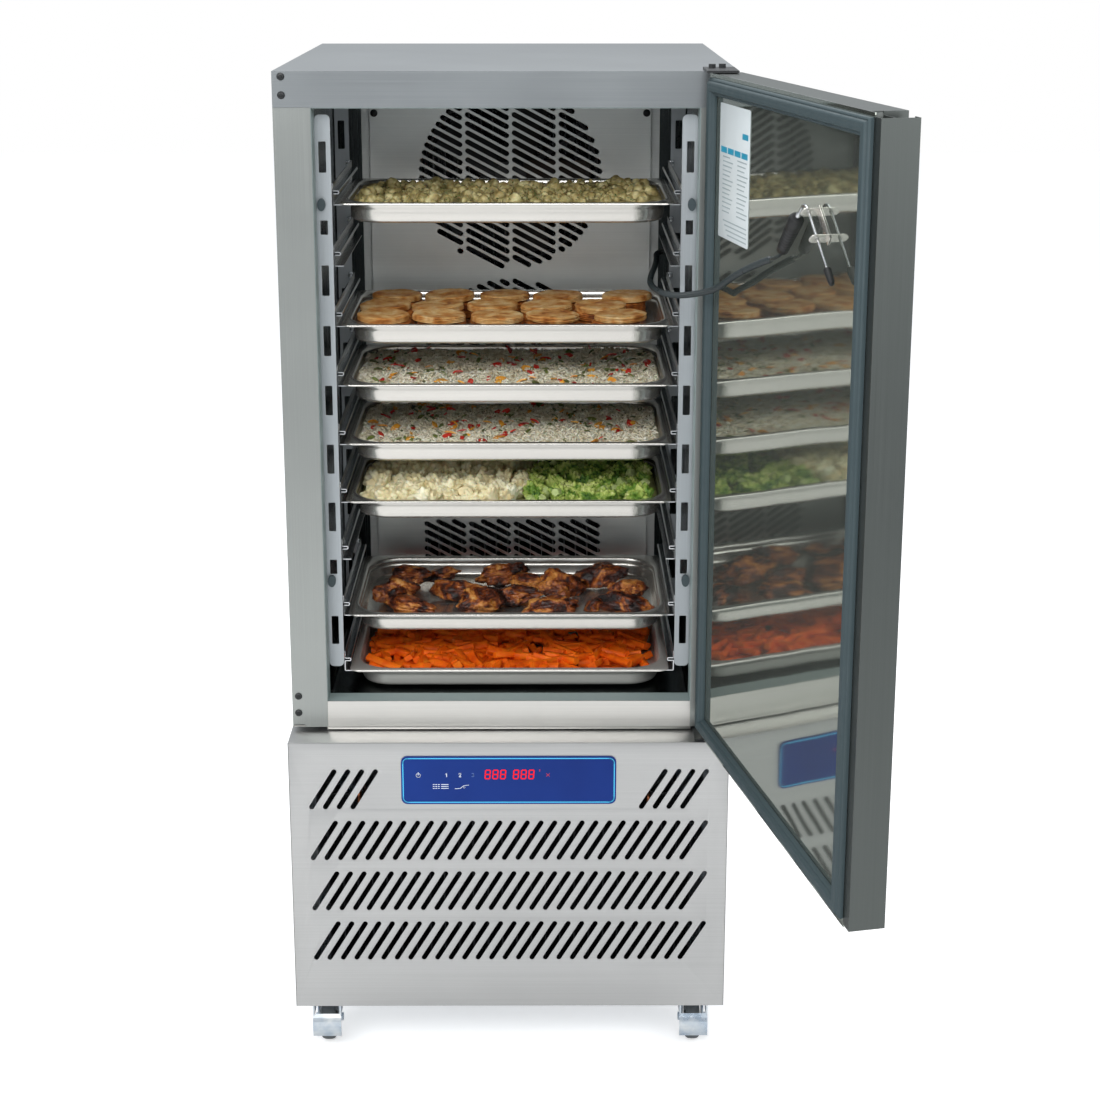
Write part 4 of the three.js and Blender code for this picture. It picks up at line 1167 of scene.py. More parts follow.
def folded_sheet(path, y0, y1):
    """A sheet folded along a path in XZ, running from y0 to y1."""
    rounded = rounded_path([(x, 0, z) for x, z in path], 0.0016, 3)
    path = [Vector((point.x, point.z)) for point in rounded]
    outer, inner = [], []
    for i, point in enumerate(path):
        along = (path[min(i + 1, len(path) - 1)] - path[max(i - 1, 0)]).normalized()
        across = Vector((-along.y, along.x)) * SHEET / 2
        outer.append(point + across)
        inner.append(point - across)
    outline = outer + inner[::-1]
    return loft([[(p.x, y, p.y) for p in outline] for y in (y0, y1)])


def runner(level):
    """The folded slide of a level: a shelf, a web and a nose over the pan's rim."""
    rim = rim_height(level)
    sheet = folded_sheet([(x, rim + z) for x, z in RUNNER_PATH], RUNNER_FRONT, RUNNER_REAR)
    tabs = [block((0.2725, y0, rim + 0.021), (0.282, y1, rim + 0.029), 0.0004)
            for y0, y1 in ((UPRIGHT_FRONT + 0.001, RUNNER_FRONT + 0.004),
                           (RUNNER_REAR - 0.004, UPRIGHT_REAR + 0.001))]
    return joined(sheet, *tabs)


def make_racks(surfaces):
    """Both racks: strip uprights and nine folded slides each."""
    strips = joined(
        upright_strip(UPRIGHT_OUTER, UPRIGHT_FRONT),
        block((0.295, UPRIGHT_FRONT + 0.001, 0.677), (0.297, 0.066, 1.561)),
        upright_strip(UPRIGHT_OUTER + 0.004, UPRIGHT_REAR),
    )
    runners = joined(*(runner(level) for level in SLIDE_LEVELS))
    for name, flip in (("rack_left", MIRROR), ("rack_right", Matrix.Identity(4))):
        add_piece(name + "_strips", moved(strips, flip), surfaces["rack"], "cabinet", 20,
                  "rack_steel", name)
        add_piece(name + "_slides", moved(runners, flip), surfaces["wire"], "cabinet", 30,
                  "rack_steel", name)


# ------------------------------------------------------------------ fan cover
COVER_FRONT = 0.440
COVER_BACK = 0.460
COVER_HALF = 0.246
COVER_FLANGE = 0.015
COVER_BOTTOM = 0.640
COVER_TOP = 1.580
GRILLE_CENTRES = (1.426, 1.087)
GRILLE_RADIUS = 0.162
LOW_GRILLE_CENTRE = 0.748
LOW_GRILLE_BOTTOM = 0.7045
LOW_GRILLE_TOP = 0.7995
GRILLE_SLOPE = math.radians(28)
GRILLE_COLUMN = 0.0815
GRILLE_GAP = 0.0020
GRILLE_PITCH = 0.0156
GRILLE_STEPS = 60
SLOT_ROUND = 0.0047


def rectangle(half, bottom, top):
    return [(-half, bottom), (half, bottom), (half, top), (-half, top)]


def grille_slots(centre_z, rises, inside):
    """Falling slots in four columns, each kept to the stretch where inside(x, z) holds."""
    slots = []
    width = GRILLE_COLUMN - 2 * GRILLE_GAP - 2 * SLOT_ROUND
    for column in range(4):
        left = (column - 2) * GRILLE_COLUMN + GRILLE_GAP + SLOT_ROUND
        for n in rises:
            run = []
            for step in range(GRILLE_STEPS + 1):
                along = width * step / GRILLE_STEPS
                z = centre_z + n * GRILLE_PITCH - along * math.tan(GRILLE_SLOPE)
                run.append((left + along, z))
            kept = [point for point in run if inside(*point)]
            if len(kept) > 2:
                slots.append(slot_outline(kept[0], kept[-1], SLOT_ROUND, 5))
    return slots


def round_grille(centre_z):
    def inside(x, z):
        return math.hypot(x, z - centre_z) < GRILLE_RADIUS - SLOT_ROUND
    return grille_slots(centre_z, range(-12, 14), inside)


def low_grille():
    def inside(_, z):
        return LOW_GRILLE_BOTTOM < z < LOW_GRILLE_TOP
    return grille_slots(LOW_GRILLE_CENTRE, range(-8, 9), inside)


def make_fan_cover(surfaces):
    """The sheet over the fans, with two round grilles and a low one, and its side returns."""
    slots = [slot for centre_z in GRILLE_CENTRES for slot in round_grille(centre_z)]
    face = standing_plate(rectangle(COVER_HALF, COVER_BOTTOM, COVER_TOP), slots + low_grille(),
                          SHEET, COVER_FRONT)
    inner = COVER_HALF - SHEET
    side = joined(
        block((inner, COVER_FRONT, COVER_BOTTOM), (COVER_HALF, COVER_BACK, COVER_TOP), 0.0003),
        block((inner, COVER_BACK - SHEET, COVER_BOTTOM),
              (COVER_HALF + COVER_FLANGE, COVER_BACK, COVER_TOP), 0.0003),
    )
    add_piece("fan_cover_sheet", joined(face, moved(side, MIRROR), side), surfaces["cover"],
              "cabinet", 20, "steel", "evaporator_cover")


# ------------------------------------------------------------------ door
GASKET_LEFT = -0.330
GASKET_RIGHT = 0.340
GASKET_BOTTOM = 0.588
GASKET_TOP = 1.633
GASKET_PROFILE = (  # distance in from the outer edge, height off the panel
    (0.0000, 0.0003), (0.0000, 0.0040), (0.0010, 0.0062), (0.0026, 0.0072),
    (0.0040, 0.0066), (0.0048, 0.0080), (0.0058, 0.0104), (0.0075, 0.0112),
    (0.0100, 0.0107), (0.0125, 0.0113), (0.0150, 0.0107), (0.0175, 0.0112),
    (0.0188, 0.0102), (0.0196, 0.0078), (0.0208, 0.0060), (0.0226, 0.0066),
    (0.0242, 0.0054), (0.0250, 0.0036), (0.0250, 0.0003),
)
CARD_BACK = DOOR_BACK + 0.0001
CARD_LEFT = 0.149
CARD_RIGHT = 0.294
CARD_BOTTOM = 1.402
CARD_TOP = 1.600


def make_gasket(surfaces):
    """A ribbed magnetic gasket, mitred at its corners."""
    rings = []
    for inset, height in GASKET_PROFILE:
        left, right = GASKET_LEFT + inset, GASKET_RIGHT - inset
        bottom, top = GASKET_BOTTOM + inset, GASKET_TOP - inset
        rings.append([(x, DOOR_BACK + height, z) for x, z in
                      ((left, bottom), (right, bottom), (right, top), (left, top))])
    add_piece("door_gasket_ribbed", loft(rings, closed=True), surfaces["rubber"], "door", 50,
              "gasket_rubber", "door_gasket")


def card_patch(x0, x1, z0, z1):
    """A printed patch, in shares of the card's width and height from its top right."""
    width = CARD_RIGHT - CARD_LEFT
    height = CARD_TOP - CARD_BOTTOM
    return block((CARD_RIGHT - x1 * width, CARD_BACK + 0.00062, CARD_TOP - z1 * height),
                 (CARD_RIGHT - x0 * width, CARD_BACK + 0.00074, CARD_TOP - z0 * height),
                 0.00004, 1)


def make_card(surfaces):
    """The guide card on the inner panel, its wording left off: boxes and ruled rows only."""
    outline = rounded_outline(CARD_LEFT, CARD_RIGHT, CARD_BOTTOM, CARD_TOP, 0.003, 4)
    add_piece("door_card", standing_plate(outline, [], 0.0006, CARD_BACK, 0.0001),
              surfaces["card"], "door")
    boxes = [card_patch(0.76, 0.95, 0.180, 0.222)]
    boxes += [card_patch(0.05 + 0.23 * n, 0.25 + 0.23 * n, 0.318, 0.362) for n in range(4)]
    add_piece("door_card_boxes", joined(*boxes), surfaces["card_cyan"], "door")
    rows = []
    for row in range(13):
        z = 0.385 + row * 0.034
        for column in range(2):
            start = 0.12 + 0.49 * column
            long = 0.24 + 0.035 * ((row * 3 + column * 2) % 4)
            rows.append(card_patch(start, start + long, z, z + 0.009))
    rows += [card_patch(0.16 + 0.05 * n, 0.95, 0.860 + 0.034 * n, 0.869 + 0.034 * n)
             for n in range(4)]
    add_piece("door_card_rows", joined(*rows), surfaces["card_grey"], "door")


# ------------------------------------------------------------------ core probe and its cable
PROBE_Y = 0.003
NEEDLE_TILT = math.radians(50.8)
TAB = (-0.150, 1.4965)
TAB_SPACING = 0.046
HANDLE_FOOT = Vector((-0.048, PROBE_Y, 1.431))
HANDLE_NECK = Vector((-0.106, PROBE_Y, 1.484))
HANDLE_AXIS = (HANDLE_NECK - HANDLE_FOOT).normalized()
CABLE_RADIUS = 0.0026
BARE_LEAD = 0.044
RIB_PITCH = 0.0037
CABLE_DROP = (  # closed-door X, distance off the door's back face, height
    (-46.8, 15, 1429.9), (-40, 15, 1424.5), (-24, 15.5, 1418), (12, 17, 1408),
    (56, 19, 1394.5), (100, 21, 1380), (146, 22, 1363.5), (188, 22, 1347.5),
)
CABLE_RUN = (  # from the door into the cavity and back to the gland
    (313, -142, 1331), (293, -86, 1314.5), (266, -32, 1301.5), (246, 18, 1296),
    (235, 72, 1293.5), (231, 130, 1291.5), (234, 195, 1289.5), (240, 255, 1289),
    (246, 300, 1290), (250.5, 340, 1291.5), (253.5, 375, 1293.5), (255, 404, 1295.5),
    (257, 414, 1296.5), (262.6, 422.4, 1297.8), (271, 428, 1299), (281, 430, 1300),
    (287.5, 430, 1300),
)
CURVE_STEPS = 24


def curve_stretch(p0, p1, p2, p3):
    """Points of a centripetal curve from p1 up to, but without, p2."""
    knots = [0.0]
    for a, b in ((p0, p1), (p1, p2), (p2, p3)):
        knots.append(knots[-1] + max((b - a).length, 1e-9) ** 0.5)
    t0, t1, t2, t3 = knots
    points = []
    for n in range(CURVE_STEPS):
        t = t1 + (t2 - t1) * n / CURVE_STEPS
        a1 = p0 * ((t1 - t) / (t1 - t0)) + p1 * ((t - t0) / (t1 - t0))
        a2 = p1 * ((t2 - t) / (t2 - t1)) + p2 * ((t - t1) / (t2 - t1))
        a3 = p2 * ((t3 - t) / (t3 - t2)) + p3 * ((t - t2) / (t3 - t2))
        b1 = a1 * ((t2 - t) / (t2 - t0)) + a2 * ((t - t0) / (t2 - t0))
        b2 = a2 * ((t3 - t) / (t3 - t1)) + a3 * ((t - t1) / (t3 - t1))
        points.append(b1 * ((t2 - t) / (t2 - t1)) + b2 * ((t - t1) / (t2 - t1)))
    return points


def even_points(dense, step):
    """Points about a step apart along a polyline, and its length."""
    length = sum((b - a).length for a, b in zip(dense, dense[1:]))
    count = round(length / step)
    spacing = length / count
    even, carried = [dense[0]], 0.0
    for a, b in zip(dense, dense[1:]):
        span = (b - a).length
        while carried + span >= spacing * len(even) - 1e-12 and len(even) < count:
            even.append(a.lerp(b, (spacing * len(even) - carried) / span))
        carried += span
    return even + [dense[-1]], length


def catmull(points, step):
    """Even points along a centripetal curve through the given ones, and its length."""
    points = [Vector(point) for point in points]
    points = [points[0] * 2 - points[1]] + points + [points[-1] * 2 - points[-2]]
    dense = []
    for four in zip(points, points[1:], points[2:], points[3:]):
        dense += curve_stretch(*four)
    return even_points(dense + [points[-2]], step)


def make_cable(surfaces):
    """The probe's cable: a bare lead at the handle, then a sleeve with a spiral rib."""
    on_door = [OPEN @ Vector((x * MM, DOOR_BACK + off * MM, z * MM)) for x, off, z in CABLE_DROP]
    route = on_door + [Vector(point) * MM for point in CABLE_RUN]
    path, length = catmull(route, 0.0006)
    spacing = length / (len(path) - 1)

    def reach(ring, angle):
        along = ring * spacing
        if along < BARE_LEAD:
            return CABLE_RADIUS
        sleeve = 0.0042 + 0.0008 * math.cos(2 * math.pi * along / RIB_PITCH + angle)
        return CABLE_RADIUS + (sleeve - CABLE_RADIUS) * min(1.0, (along - BARE_LEAD) / 0.004)

    piece = add_piece("probe_cable_sleeve", tube(path, reach), surfaces["cable"], None, 60,
                      "slate_plastic", "probe_cable")
    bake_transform(piece)
    coarse, _ = catmull(route, 0.0024)
    tuple(path[-1])
    [tuple(p) for p in reversed(coarse)]


def along_needle(distance):
    """A point on the needle's straight part, measured down from the upper tab."""
    return Vector((TAB[0] - distance * math.sin(NEEDLE_TILT), PROBE_Y,
                   TAB[1] - distance * math.cos(NEEDLE_TILT)))


def grip_part():
    """The handle, with seven grip rings and a neck."""
    end = (HANDLE_NECK - HANDLE_FOOT).length
    profile = [(0.0, 0.0045), (0.0004, 0.0070), (0.002, 0.0082), (0.010, 0.0086)]
    for ring in range(7):
        along = 0.014 + ring * 0.0062
        more = ring * 0.0002
        profile += [(along, 0.0088 + more), (along + 0.0012, 0.0081 + more),
                    (along + 0.0024, 0.0081 + more), (along + 0.0036, 0.009 + more)]
    profile += [(end - 0.012, 0.0104), (end - 0.004, 0.0104), (end - 0.0008, 0.0085),
                (end, 0.0060)]
    return lathe(profile, HANDLE_FOOT, HANDLE_AXIS, 28)


def spike_part():
    """The bent needle, thinner at its tip, and the ferrule that holds it."""
    bend, _ = catmull([(-0.1075, PROBE_Y, 1.4852), (-0.118, PROBE_Y, 1.4946),
                       (-0.128, PROBE_Y, 1.502), (-0.138, PROBE_Y, 1.503),
                       along_needle(-0.003), along_needle(0.014)], 0.002)
    path = bend + [along_needle(d) for d in (0.03, 0.06, 0.09, 0.106, 0.112)]
    tip = len(path) - 3
    needle = tube(path, lambda ring, _: 0.002 if ring < tip else 0.0015)
    ferrule = lathe([(0, 0.0030), (0.0006, 0.0036), (0.007, 0.0034), (0.0085, 0.0025)],
                    HANDLE_NECK + HANDLE_AXIS * 0.0004, HANDLE_AXIS, 16)
    return joined(needle, ferrule)


def cap_part():
    down = (along_needle(1) - along_needle(0)).normalized()
    return lathe([(0.0, 0.0028), (0.0, 0.0046), (0.0008, 0.0052), (0.006, 0.0050),
                  (0.020, 0.0044), (0.0248, 0.0036), (0.0262, 0.0018)],
                 along_needle(0.098), down, 20)


def tabs_part():
    """Two tabs on a strip, each with an eye for the needle."""
    outline = [(-0.007, -0.0149), (0.007, -0.0149), *arc(0, 0.004, 0.007, 0, 180, 14)]
    eye = arc(0, 0, 0.0027, 0, 360, 14)[:-1]
    tab = plate(outline, [eye], 0.0014, 0.0002)
    tabs = [moved(tab, Matrix.Translation((0, 0, -drop - 0.0007))) for drop in (0.0, TAB_SPACING)]
    strip = block((-0.007, -0.0149, -TAB_SPACING - 0.006), (0.007, -0.0134, 0.006), 0.0004)
    place = Matrix.Translation((TAB[0], PROBE_Y, TAB[1])) @ Matrix.Rotation(NEEDLE_TILT, 4, "Y")
    return moved(joined(*tabs, strip), place)


def make_probe(surfaces):
    """The core probe and its holder, resting on the door's inner panel."""
    for name, part, key, slot, node in (
            ("probe_grip", grip_part(), "black", "black_plastic", "probe_handle"),
            ("probe_spike", spike_part(), "wire", "bright_steel", "probe_needle"),
            ("probe_cap", cap_part(), "black", "black_plastic", "probe_tip_cap"),
            ("probe_tabs", tabs_part(), "pan", "bright_steel", "probe_holder")):
        add_piece(name, part, surfaces[key], "door", slot=slot, replaces=node)


# ------------------------------------------------------------------ machine housing
LOUVRE_COLUMNS = 28
LOUVRE_ROWS = 4
LOUVRE_END = 4  # columns beside the fascia in the top row
LOUVRE_PITCH = 0.02245
LOUVRE_ROW_PITCH = 0.0905
LOUVRE_TOP = 0.490
SLOT_RUN = 0.038
SLOT_RISE = 0.062
SLOT_HALF = 0.0045


def louvre_slots():
    """Slots that lean to the right, in rows; the fascia takes the middle of the top row."""
    slots = []
    for row in range(LOUVRE_ROWS):
        z = LOUVRE_TOP - row * LOUVRE_ROW_PITCH
        for column in range(LOUVRE_COLUMNS):
            if row or column < LOUVRE_END or column >= LOUVRE_COLUMNS - LOUVRE_END:
                x = (column - (LOUVRE_COLUMNS - 1) / 2) * LOUVRE_PITCH
                slots.append(slot_outline((x - SLOT_RUN / 2, z - SLOT_RISE / 2),
                                          (x + SLOT_RUN / 2, z + SLOT_RISE / 2), SLOT_HALF, 6))
    return slots


def make_lower_panel(surfaces):
    """The louvred front with its ledge and side returns."""
    face = standing_plate(rectangle(LOWER_HALF, LOWER_BOTTOM, LOWER_TOP), louvre_slots(), SHEET,
                          LOWER_FRONT, 0.0004)
    ledge = block((-LOWER_HALF, LOWER_FRONT, LOWER_TOP - SHEET), (LOWER_HALF, 0.040, LOWER_TOP))
    side = block((LOWER_HALF - SHEET, LOWER_FRONT, LOWER_BOTTOM),
                 (LOWER_HALF, -0.030, LOWER_TOP - 0.0002))
    add_piece("louvred_front", joined(face, ledge, moved(side, MIRROR), side),
              surfaces["housing"], "cabinet", slot="steel", replaces="lower_front_panel")


def make_sill_lip(surfaces):
    """The sill sheet's folded lower edge, which leaves only a line over the ledge."""
    lip = block((-0.2985, 0.0, 0.5730), (0.2985, 0.0012, 0.5782), 0.0003)
    add_piece("sill_lip", lip, surfaces["sill"], "cabinet")


FASCIA_FACE = -0.0563
PRINT_BACK = FASCIA_FACE - 0.00002
STROKE_FRONT = FASCIA_FACE - 0.00018
STROKE_FACES = ((0, 1, 2, 3), (7, 6, 5, 4), (0, 4, 5, 1), (1, 5, 6, 2), (2, 6, 7, 3),
                (3, 7, 4, 0))
SEGMENTS = (  # strokes of a seven-segment digit, in shares of its width and height
    ((0.12, 1.0), (0.88, 1.0)), ((1.0, 0.93), (1.0, 0.56)), ((1.0, 0.44), (1.0, 0.07)),
    ((0.12, 0.0), (0.88, 0.0)), ((0.0, 0.07), (0.0, 0.44)), ((0.0, 0.56), (0.0, 0.93)),
    ((0.12, 0.5), (0.88, 0.5)),
)
DIGIT_PITCH = 0.0125
DIGIT_WIDTH = DIGIT_PITCH * 0.62
DIGIT_HEIGHT = 0.0150
DIGIT_SLANT = 0.0012
DIGIT_FOOT = 0.5095
NUMERALS = {  # strokes, in shares of a numeral's width and height
    "1": ((0.2, 0.75), (0.55, 1.0), (0.55, 0.0)),
    "2": ((0.05, 0.75), (0.2, 0.95), (0.5, 1.0), (0.8, 0.9), (0.85, 0.65), (0.1, 0.0),
          (0.9, 0.0)),
    "3": ((0.1, 0.9), (0.5, 1.0), (0.85, 0.8), (0.75, 0.58), (0.4, 0.52), (0.78, 0.46),
          (0.9, 0.2), (0.5, 0.0), (0.08, 0.12)),
}
NUMERAL_MIDDLE = 0.516
NUMERAL_HEIGHT = 0.0062
NUMERAL_WIDTH = NUMERAL_HEIGHT * 0.62


def printed_patch(x0, x1, z0, z1):
    """A thin printed patch on the fascia."""
    return block((x0, FASCIA_FACE - 0.00022, z0), (x1, PRINT_BACK, z1), 0.00003, 1)


def printed_line(points, width):
    """A printed stroke through points on the fascia."""
    points = [Vector((x, 0, z)) for x, z in points]
    parts = []
    for start, end in zip(points, points[1:]):
        along = (end - start).normalized()
        across = Vector((-along.z, 0, along.x)) * width / 2
        start = start - along * width * 0.3
        end = end + along * width * 0.3
        corners = (start + across, end + across, end - across, start - across)
        verts = [(corner.x, y, corner.z) for y in (STROKE_FRONT, PRINT_BACK)
                 for corner in corners]
        parts.append((verts, STROKE_FACES))
    return joined(*parts)


def three_eights(left):
    """Three slanted digits of the display with every segment on."""
    strokes = []
    for place in range(3):
        x = left + place * DIGIT_PITCH
        for segment in SEGMENTS:
            ends = [(x + px * DIGIT_WIDTH + pz * DIGIT_SLANT, DIGIT_FOOT + pz * DIGIT_HEIGHT)
                    for px, pz in segment]
            strokes.append(printed_line(ends, 0.0019))
    return joined(*strokes)


def numeral(character, x):
    points = [(x + (px - 0.5) * NUMERAL_WIDTH, NUMERAL_MIDDLE + (pz - 0.5) * NUMERAL_HEIGHT)
              for px, pz in NUMERALS[character]]
    return printed_line(points, NUMERAL_HEIGHT * 0.19)


def power_sign():
    return joined(printed_line(arc(-0.147, 0.5155, 0.0034, 125, 415, 14), 0.0012),
                  printed_line([(-0.147, 0.5160), (-0.147, 0.5204)], 0.0012))


def programme_signs():
    """Small plain pictograms: rows of a program bar, a tray and a thermometer stroke."""
    parts = []
    for row in range(3):
        z = 0.4995 - row * 0.0034
        parts.append(printed_patch(-0.1100, -0.0980, z - 0.0005, z + 0.0005))
        for step in range(3):
            x = -0.1235 + step * 0.0042
            parts.append(printed_patch(x, x + 0.0028, z - 0.0005, z + 0.0005))
    parts.append(printed_line([(-0.0875, 0.4920), (-0.0790, 0.4925), (-0.0730, 0.4975),
                               (-0.0650, 0.4985)], 0.0008))
    parts.append(printed_line(arc(-0.0725, 0.4945, 0.0014, 0, 360, 10), 0.0006))
    return joined(*parts)


def red_sign():
    return joined(printed_line([(0.0615, 0.5135), (0.0665, 0.5185)], 0.0008),
                  printed_line([(0.0665, 0.5135), (0.0615, 0.5185)], 0.0008),
                  printed_line([(0.0505, 0.5225), (0.0505, 0.5255)], 0.0011))


def make_fascia_print(surfaces):
    """The fascia's printing that may be shown: border, numerals, plain signs and digits."""
    border = rounded_outline(-0.1718, 0.1718, 0.4682, 0.5448, 0.008, 6)
    white = joined(power_sign(), numeral("1", -0.101), numeral("2", -0.079), programme_signs())
    digits = joined(three_eights(-0.0385), three_eights(0.0075))
    for name, part, key in (
            ("fascia_border", printed_line(border + border[:1], 0.0016), "cyan_print"),
            ("fascia_signs", white, "white_print"),
            ("fascia_dim_numeral", numeral("3", -0.058), "dim_print"),
            ("fascia_digits", digits, "led"),
            ("fascia_red_sign", red_sign(), "red_print")):
        add_piece(name, part, surfaces[key], "cabinet")


REAR_FACE = 0.7401


def socket_screw(place, axis, radius):
    """A dark button head with a hex socket."""
    profile = [(0.0, radius * 0.96), (0.0006, radius), (0.0016, radius * 0.93),
               (0.0026, radius * 0.72), (0.0031, radius * 0.5)]
    socket = [(0.0029, radius * 0.30), (0.00325, radius * 0.34), (0.00325, radius * 0.46)]
    return joined(lathe(profile, place, axis, 24), lathe(socket, place, axis, 6))


def make_screws(surfaces):
    """Screws of the front stiles, the fan cover, the back and the sides of the housing."""
    sides = (-1, 1)
    stiles = ((0.341, 1.632), (0.341, 1.604), (0.3445, 0.631), (0.345, 0.602))
    rear = [(x, z) for x in (-0.335, 0.0, 0.335) for z in (0.600, 0.950, 1.290, 1.605)]
    rear += [(x, z) for x in (-0.335, 0.335) for z in (0.130, 0.330, 0.545)]
    groups = {
        "stile_screws": [socket_screw((side * x, -0.0001, z), (0, -1, 0), 0.006)
                         for side in sides for x, z in stiles],
        "cover_screws": [socket_screw((side * 0.237, 0.4399, 1.538), (0, -1, 0), 0.0065)
                         for side in sides],
        "rear_screws": [socket_screw((x, REAR_FACE, z), (0, 1, 0), 0.0045) for x, z in rear],
        "side_screws": [socket_screw((side * LOWER_HALF, y, z), (side, 0, 0), 0.0045)
                        for side in sides for y in (0.060, 0.700) for z in (0.135, 0.540)],
    }
    for name, screws in groups.items():
        add_piece(name, joined(*screws), surfaces["motor"], "cabinet")


PIPES = (  # radius of the pipe, of its bends, and its corners
    (0.0048, 0.030, ((0.060, 0.360, 0.300), (0.060, 0.360, 0.350), (0.230, 0.300, 0.350),
                     (0.230, 0.120, 0.350), (0.230, 0.048, 0.420), (0.230, 0.032, 0.452),
                     (0.230, 0.010, 0.452), (0.230, 0.006, 0.436))),
    (0.0064, 0.035, ((-0.050, 0.430, 0.300), (-0.050, 0.430, 0.380), (-0.150, 0.560, 0.430),
                     (-0.150, 0.600, 0.566))),
    (0.0040, 0.035, ((-0.250, 0.006, 0.436), (-0.250, 0.006, 0.458), (-0.250, 0.060, 0.458),
                     (-0.250, 0.250, 0.300), (-0.250, 0.420, 0.220), (-0.230, 0.520, 0.220),
                     (-0.130, 0.600, 0.300), (-0.130, 0.620, 0.566))),
)


def make_pipes(surfaces):
    """Copper lines between compressor and condenser, and a receiver-drier."""
    lines = [tube(rounded_path(corners, bend), radius) for radius, bend, corners in PIPES]
    add_piece("copper_lines", joined(*lines), surfaces["copper"], "cabinet")
    drier = lathe([(0, 0.005), (0.012, 0.010), (0.020, 0.019), (0.110, 0.019), (0.118, 0.010),
                   (0.130, 0.005)], (-0.250, 0.270, 0.290), (0, 0.15, -0.08), 24)
    add_piece("filter_drier", drier, surfaces["copper"], "cabinet")


# ------------------------------------------------------------------ casters
WHEEL_SIDE = (  # half the wheel's section, from its bore out: distance along the axle, radius
    (0.0125, 0.0047), (0.0125, 0.0090), (0.0110, 0.0105), (0.0095, 0.0115), (0.0095, 0.0250),
    (0.0115, 0.0270), (0.0122, 0.0300), (0.0112, 0.0345), (0.0085, 0.0366), (0.0040, 0.0374),
)
NUT_PROFILE = ((0, 0.0066), (0.0004, 0.0072), (0.0042, 0.0072), (0.0048, 0.0064))
NUT_OFFSET = 0.0192
COLLAR_PROFILE = ((0, 0.0225), (0.0012, 0.0232), (0.0026, 0.0225), (0.0026, 0.0175))
COLLAR_FOOT = 0.0942


def wheel_part(axle):
    """A wheel with a crowned tread, a recessed disc and a hub."""
    left = [(-along, radius) for along, radius in WHEEL_SIDE]
    profile = [*left, (0.0, WHEEL_RADIUS), *reversed(WHEEL_SIDE)]
    return lathe(profile, axle, (1, 0, 0), 48, closed=True)


def make_casters(surfaces):
    """Treads for the wheels, and the nuts and collars that hold the forks together."""
    for corner, (x, y) in CORNERS.items():
        axle = Vector((x, y - WHEEL_TRAIL, WHEEL_RADIUS))
        add_piece("wheel_%s_tread" % corner, wheel_part(axle), surfaces["tyre"],
                  "wheel_" + corner, slot="wheel_rubber", replaces="caster_wheel_" + corner)
        nuts = [lathe(NUT_PROFILE, axle + Vector((side * NUT_OFFSET, 0, 0)), (side, 0, 0), 6)
                for side in (-1, 1)]
        collar = lathe(COLLAR_PROFILE, (x, y, COLLAR_FOOT), (0, 0, 1))
        add_piece("caster_%s_nuts" % corner, joined(collar, *nuts), surfaces["zinc"],
                  "caster_" + corner, slot="zinc")


# ------------------------------------------------------------------ stage and light
def make_floor():
    """A pale floor, which the camera alone sees brighter than its light makes it."""
    reach = 14.0
    mesh = bpy.data.meshes.new("floor")
    corners = ((-reach, -reach), (reach, -reach), (reach, reach), (-reach, reach))
    mesh.from_pydata([(x, y, -0.0006) for x, y in corners], [], [(0, 1, 2, 3)])
    floor = bpy.data.objects.new("floor", mesh)
    bpy.context.scene.collection.objects.link(floor)
    made = Surface("floor_paint", (0.86, 0.86, 0.86, 1.0), 0.7)
    plain = made.shader.outputs[0]
    lift = made.node("Emission", {"Strength": 0.5}).outputs[0]
    bright = made.node("AddShader", {0: plain, 1: lift}).outputs[0]
    to_camera = made.node("LightPath").outputs["Is Camera Ray"]
    mix = made.node("MixShader", {"Fac": to_camera, 1: plain, 2: bright}).outputs[0]
    set_inputs(made.tree.nodes["Material Output"], {"Surface": mix})
    mesh.materials.append(made.material)


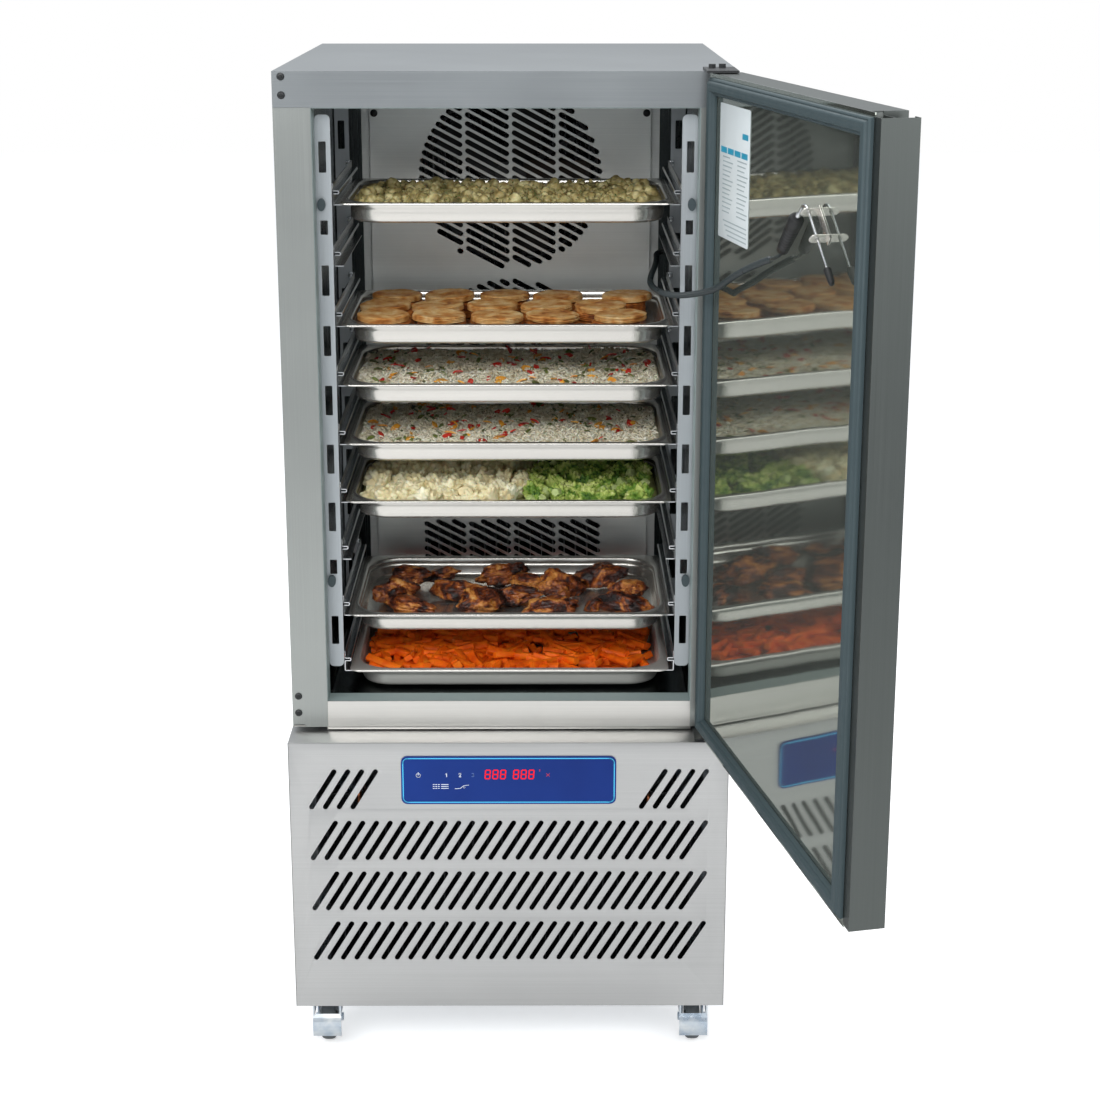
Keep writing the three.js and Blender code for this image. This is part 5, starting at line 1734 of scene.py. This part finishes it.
def make_world():
    """Cool light from all round, white where the camera sees it."""
    world = bpy.data.worlds.new("studio")
    bpy.context.scene.world = world
    world.use_nodes = True
    tree = world.node_tree
    cool = set_inputs(tree.nodes["Background"],
                      {"Color": (0.92, 0.96, 1.0, 1.0), "Strength": 0.62}).outputs[0]
    white = make_node(tree, "Background", {"Color": (1, 1, 1, 1), "Strength": 1.0}).outputs[0]
    rays = make_node(tree, "LightPath").outputs
    seen = make_node(tree, "Math", {0: rays["Is Camera Ray"], 1: rays["Is Transmission Ray"]},
                     operation="MAXIMUM").outputs[0]
    mix = make_node(tree, "MixShader", {"Fac": seen, 1: cool, 2: white}).outputs[0]
    set_inputs(tree.nodes["World Output"], {"Surface": mix})


def make_lamp(name, place, target, size, power):
    data = bpy.data.lights.new(name, "AREA")
    data.shape = "RECTANGLE"
    data.size, data.size_y = size
    data.energy = power
    lamp = bpy.data.objects.new(name, data)
    bpy.context.scene.collection.objects.link(lamp)
    lamp.location = place
    lamp.rotation_euler = (Vector(target) - Vector(place)).to_track_quat("-Z", "Y").to_euler()


def make_lights():
    make_lamp("key", (-2.4, -3.2, 3.0), (0, 0.2, 1.0), (2.0, 2.0), 70.0)
    make_lamp("fill", (2.8, -3.0, 2.2), (0, 0, 0.9), (2.0, 2.4), 35.0)
    make_lamp("top", (0.0, 0.8, 4.2), (0, 0.4, 1.6), (2.6, 2.6), 108.0)
    make_lamp("front", (0.0, -3.3, 3.1), (0, 0.2, 1.0), (2.4, 1.2), 52.0)


# ------------------------------------------------------------------ the whole scene
def main():
    make_camera()
    surfaces = make_materials()
    make_cable(surfaces)
    dress_nodes(surfaces)
    make_pans(surfaces)
    make_racks(surfaces)
    make_fan_cover(surfaces)
    make_gasket(surfaces)
    make_card(surfaces)
    make_probe(surfaces)
    make_lower_panel(surfaces)
    make_sill_lip(surfaces)
    make_fascia_print(surfaces)
    make_screws(surfaces)
    make_pipes(surfaces)
    make_casters(surfaces)
    make_food()
    make_floor()
    make_world()
    make_lights()
    scene = bpy.context.scene
    scene.view_settings.view_transform = "Standard"


main()
